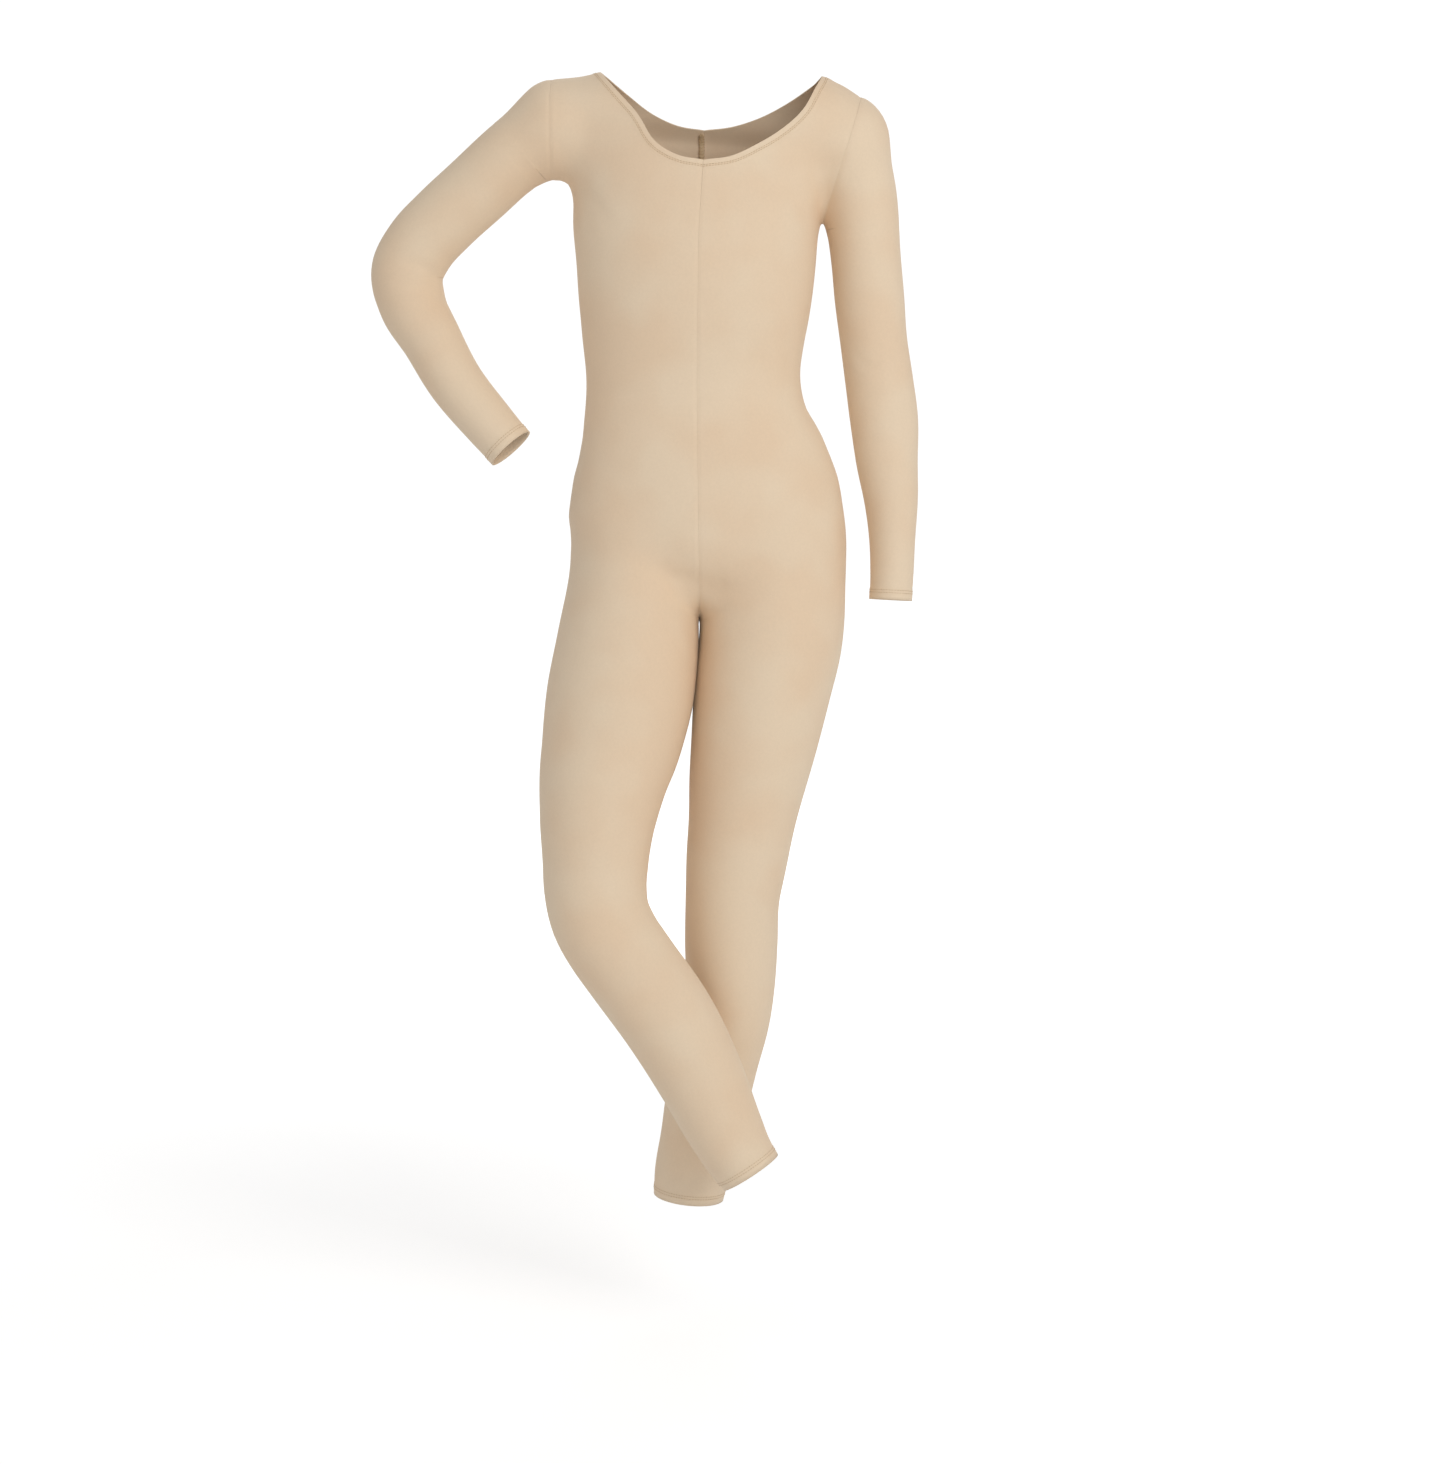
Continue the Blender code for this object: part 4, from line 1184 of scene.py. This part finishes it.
@dataclass
class Unitard:
    """The whole garment: six pieces of cloth, their stitched hems and the overlocked seams inside."""

    figure: Figure = field(default_factory=Figure)
    make: Make = field(default_factory=Make)
    cut: UnitardCut = field(init=False)
    knit: bpy.types.Material = field(init=False)
    thread: bpy.types.Material = field(init=False)
    pieces: dict[str, ClothPiece] = field(default_factory=dict)
    hem_points: int = 3
    seam_points: int = 2
    armhole_points: int = 4

    def __post_init__(self) -> None:
        """Makes the cut and the two materials."""
        self.cut = UnitardCut(self.figure)
        self.knit = StretchKnit().material()
        self.thread = SewingThread().material()

    def near(self, grid: np.ndarray) -> list[Crease]:
        """The creases that come close enough to a grid to press it."""
        coarse = grid[::3, ::3].reshape(-1, 3)
        found = []
        for crease in CREASES:
            points = np.array(crease.points) * MM
            if np.linalg.norm(coarse[:, None] - points[None], axis=2).min() < self.make.crease_reach:
                found.append(crease)
        return found

    def wall_directions(self, grid: np.ndarray, side: Side) -> np.ndarray:
        """Which way is out of the cloth at each point.

        Along a centre seam or an armhole it is in the seam's plane, so that both pieces meet there.
        """
        on_seam = 1e-6
        away = unit(self.figure.slope(grid, (side,)))
        on_centre = np.abs(grid[..., 0] - self.cut.centre_x(grid[..., 2])) < on_seam
        away[on_centre] = unit(self.figure.slope(grid[on_centre]) * (0.0, 1.0, 1.0))
        middle, _, _ = self.cut.armhole_frame(side)
        square = self.cut.toward_body(side)
        on_armhole = np.abs((grid - middle) @ square) < on_seam
        leaning = away[on_armhole]
        away[on_armhole] = unit(leaning - (leaning @ square)[:, None] * square)
        return away

    def fine_grid(self, coarse: np.ndarray, side: Side) -> tuple[np.ndarray, np.ndarray]:
        """The grid with a point added between each two, and which way is out of the cloth at each."""
        away = self.wall_directions(coarse, side)
        return finer(finer(coarse, 0), 1), unit(finer(finer(away, 0), 1))

    def body_piece(self, side: Side, face: Face) -> ClothPiece:
        """A front or back half, from shoulder to ankle, with its seams pressed and its hems turned."""
        grid, away = self.fine_grid(self.cut.body_grid(side, face), side)
        flip = (side is Side.RIGHT) == (face is Face.FRONT)
        name = f"{face.label}_{side.label}_knit"
        piece = ClothPiece(name, grid, away, tube=False, flip=flip, make=self.make)
        neck = 2 * self.cut.neck_column()
        for seam in (grid[:, 0], grid[:, -1], grid[0, neck:]):
            piece.press_seam(apart_from(seam, grid))
        piece.from_neck = apart_from(grid[0, : neck + 1], grid)
        piece.turn_hem(piece.from_neck, self.make.neck_depth)
        piece.turn_hem(piece.from_hem, self.make.hem_depth)
        piece.crease(self.figure, self.near(grid))
        return piece

    def sleeve_piece(self, side: Side) -> ClothPiece:
        """A sleeve from the armhole to the cuff, with its armhole pressed and its cuff turned."""
        grid, away = self.fine_grid(self.cut.sleeve_grid(side), side)
        grid[:, -1], away[:, -1] = grid[:, 0], away[:, 0]
        name = f"sleeve_{side.label}_knit"
        piece = ClothPiece(name, grid, away, tube=True, flip=side is Side.RIGHT, make=self.make)
        for seam in (grid[0], grid[:, 0]):
            piece.press_seam(apart_from(seam, grid))
        piece.turn_hem(piece.from_hem, self.make.hem_depth)
        piece.crease(self.figure, self.near(grid))
        return piece

    def dress(self, piece: ClothPiece, node: str) -> None:
        """Builds a piece of cloth in place of its solid, hides the solid and keeps the piece by its node's
        name.
        """
        thing = piece.build(self.knit)
        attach(thing, "root")
        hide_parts(node)
        self.pieces[node] = piece
        LOG.info("%s: %d points", piece.name, piece.grid.size // 3)

    def cloth(self) -> None:
        """Cuts, creases and builds the six pieces."""
        for side in Side:
            for face in Face:
                self.dress(self.body_piece(side, face), f"{face.label}_{side.label}")
            self.dress(self.sleeve_piece(side), f"sleeve_{side.label}")

    def add_sewing(self, name: str, parts: list[tuple[np.ndarray, np.ndarray]]) -> None:
        """Adds one piece of sewing, which rides with the garment."""
        points, faces = joined(parts)
        thing = mesh_object(name, points, faces, self.thread)
        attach(thing, "root")
        LOG.info("%s: %d faces", name, len(faces))

    def hem_stitches(self) -> None:
        """Two rows of stitches round the neckline, each cuff and each ankle hem."""
        row = StitchRow()
        parts = []
        for depth in self.make.neck_stitches:
            quarter = {}
            for side in Side:
                for face in Face:
                    piece = self.pieces[f"{face.label}_{side.label}"]
                    quarter[side, face] = piece.row_beside(piece.from_neck, depth)
            ring = np.concatenate(
                [
                    quarter[Side.RIGHT, Face.FRONT],
                    quarter[Side.RIGHT, Face.BACK][-2::-1],
                    quarter[Side.LEFT, Face.BACK][1:],
                    quarter[Side.LEFT, Face.FRONT][-2:0:-1],
                ]
            )
            parts.append(row.mesh_parts(ring[:, :3], ring[:, 3:]))
        self.add_sewing("neckline_stitches", parts)
        for side in Side:
            front, back = (self.pieces[f"{face.label}_{side.label}"] for face in Face)
            sleeve = self.pieces[f"sleeve_{side.label}"]
            ankle, cuff = [], []
            for depth in self.make.hem_stitches:
                rows = [piece.row_beside(piece.from_hem, depth, True) for piece in (front, back)]
                ring = np.concatenate([rows[0][1:-1], rows[1][-2:0:-1]])
                ankle.append(row.mesh_parts(ring[:, :3], ring[:, 3:]))
                ring = sleeve.row_beside(sleeve.from_hem, depth, True)[:-1]
                cuff.append(row.mesh_parts(ring[:, :3], ring[:, 3:]))
            self.add_sewing(f"ankle_{side.label}_stitches", ankle)
            self.add_sewing(f"cuff_{side.label}_stitches", cuff)

    def seam_allowances(self) -> None:
        """The overlocked edges inside the centre, side, shoulder, armhole and sleeve seams.

        Each one ends a few points of the grid before the hems and the seams that it runs into.
        """
        band = SeamAllowance()
        inset = self.make.thickness + self.make.seam_dip + 0.5 * band.height
        neck = 2 * self.cut.neck_column() + self.seam_points
        underarm = 2 * (len(self.cut.armhole_steps) - 1) + self.seam_points
        for side in Side:
            front = self.pieces[f"front_{side.label}"]
            sleeve = self.pieces[f"sleeve_{side.label}"]
            lines = {
                "side_seam": (front, np.s_[underarm : -self.hem_points, -1]),
                "shoulder_seam": (front, np.s_[0, neck : -self.seam_points]),
                "armhole_seam": (sleeve, np.s_[0, :]),
                "sleeve_seam": (sleeve, np.s_[self.armhole_points : -self.hem_points, 0]),
            }
            for name, (piece, place) in lines.items():
                line, normals = piece.grid[place], piece.away[place]
                shifted = line + 0.5 * band.width * self.beside(name, side, line, normals)
                part = band.mesh_parts(shifted, normals, inset)
                self.add_sewing(f"{name}_{side.label}", [part])
        for face in Face:
            piece = self.pieces[f"{face.label}_right"]
            rows = slice(self.hem_points, -self.hem_points)
            line = piece.grid[rows, 0]
            shifted = line + 0.5 * band.width * unit(piece.grid[rows, 2] - line)
            part = band.mesh_parts(shifted, piece.away[rows, 0], inset)
            self.add_sewing(f"centre_{face.label}_seam", [part])

    def beside(self, name: str, side: Side, line: np.ndarray, normals: np.ndarray) -> np.ndarray:
        """Which way an inner seam is pressed: the armhole's to the sleeve, the others to the back."""
        if name == "armhole_seam":
            return np.broadcast_to(-self.cut.toward_body(side), line.shape)
        across = unit(np.cross(unit(np.gradient(line, axis=0)), normals))
        return np.sign(across[:, 1].sum()) * across


@dataclass
class Studio:
    """Plain pale floor, white surroundings and soft light, with the camera at the photograph's view."""

    floor_z: float = -1.341
    floor_half: float = 12.0
    soft_light: float = 0.54
    seen_white: float = 1.05
    camera_at: tuple[float, float, float] = (0.011, -3.6, -0.29)
    aim: tuple[float, float, float] = (0.011, 0.0, -0.70)
    lens_mm: float = 84.05
    sensor_mm: float = 36.0
    lit_point: tuple[float, float, float] = (0.0, 0.0, -0.6)

    def floor(self) -> None:
        """A wide square floor of lit white paper, which glows more to the camera the further off it is."""
        made, shader = new_finish(
            "white_studio_paper", {"Roughness": 0.9, "Emission Color": linear("#FFFFFF")}
        )
        tree = made.node_tree
        place = add_node(tree, "TexCoord").outputs["Object"]
        grain = add_node(tree, "TexNoise", {"Scale": 3.0}, {"Vector": place})
        paper = add_ramp(tree, grain, (0.0, 1.0), ("#F6F6F6", "#F9F9F9"))
        off = add_node(tree, "VectorMath", {"operation": "LENGTH"}, {0: place})
        glow = add_node(
            tree,
            "MapRange",
            {"From Min": 1.5, "From Max": 3.2, "To Min": 0.3, "To Max": 0.62},
            {"Value": off.outputs["Value"]},
        )
        seen = add_node(tree, "LightPath")
        strength = add_node(
            tree, "Math", {"operation": "MULTIPLY"}, {0: glow, 1: seen.outputs["Is Camera Ray"]}
        )
        tree.links.new(paper.outputs["Color"], shader.inputs["Base Color"])
        tree.links.new(strength.outputs[0], shader.inputs["Emission Strength"])
        corners = self.floor_half * np.array([(-1, -1, 0), (1, -1, 0), (1, 1, 0), (-1, 1, 0)])
        floor = mesh_object("studio_floor", corners + (0, 0, self.floor_z), np.array([[0, 1, 2, 3]]), made)

    def world(self) -> None:
        """White to the camera, and a softer white as light."""
        world = bpy.data.worlds.new("studio_white")
        bpy.context.scene.world = world
        world.use_nodes = True
        tree = world.node_tree
        tree.nodes.clear()
        seen = add_node(tree, "LightPath").outputs["Is Camera Ray"]
        strength = add_node(
            tree, "MapRange", {"To Min": self.soft_light, "To Max": self.seen_white}, {"Value": seen}
        )
        back = add_node(tree, "Background", {"Color": linear("#FFFFFF")}, {"Strength": strength})
        add_node(tree, "OutputWorld", links={"Surface": back})

    def light(self, name: str, at: tuple, size: float, power: float, colour: str) -> None:
        """A square area light that faces the garment's middle."""
        data = bpy.data.lights.new(name, "AREA")
        data.shape = "SQUARE"
        data.size = size
        data.energy = power
        data.color = linear(colour)[:3]
        lamp = bpy.data.objects.new(name, data)
        lamp.location = at
        lamp.rotation_euler = self.facing(at, self.lit_point)
        bpy.context.scene.collection.objects.link(lamp)

    def facing(self, at: tuple, aim: tuple) -> tuple[float, float, float]:
        """Euler angles that turn a lamp or camera at one place to another place, upright."""
        x, y, z = (b - a for a, b in zip(at, aim))
        return math.atan2(math.hypot(x, y), -z), 0.0, math.atan2(-x, y)

    def build(self) -> None:
        """Builds the floor, the surroundings, the lights and the camera."""
        self.floor()
        self.world()
        self.light("key", at=(2.2, -3.2, 1.4), size=2.4, power=68.0, colour="#FFFDFA")
        self.light("fill", at=(-2.6, -2.6, 0.4), size=2.8, power=7.0, colour="#FFFDFA")
        self.light("rear", at=(0.4, 3.4, 1.2), size=2.8, power=26.0, colour="#FFFFFF")
        data = bpy.data.cameras.new("photograph_view")
        data.lens = self.lens_mm
        data.sensor_width = self.sensor_mm
        camera = bpy.data.objects.new("photograph_view", data)
        camera.location = self.camera_at
        camera.rotation_euler = self.facing(self.camera_at, self.aim)
        bpy.context.scene.collection.objects.link(camera)
        bpy.context.scene.camera = camera
        bpy.context.scene.view_settings.view_transform = "Standard"


def write_sizes() -> None:
    """Brings the scene's view layer up to date."""
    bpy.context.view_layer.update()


def main() -> None:
    """Builds the garment and the studio, in order."""
    logging.basicConfig(level=logging.INFO, format="%(name)s: %(message)s")
    garment = Unitard()
    garment.cloth()
    garment.hem_stitches()
    garment.seam_allowances()
    Studio().build()
    write_sizes()


if __name__ == "__main__":
    main()
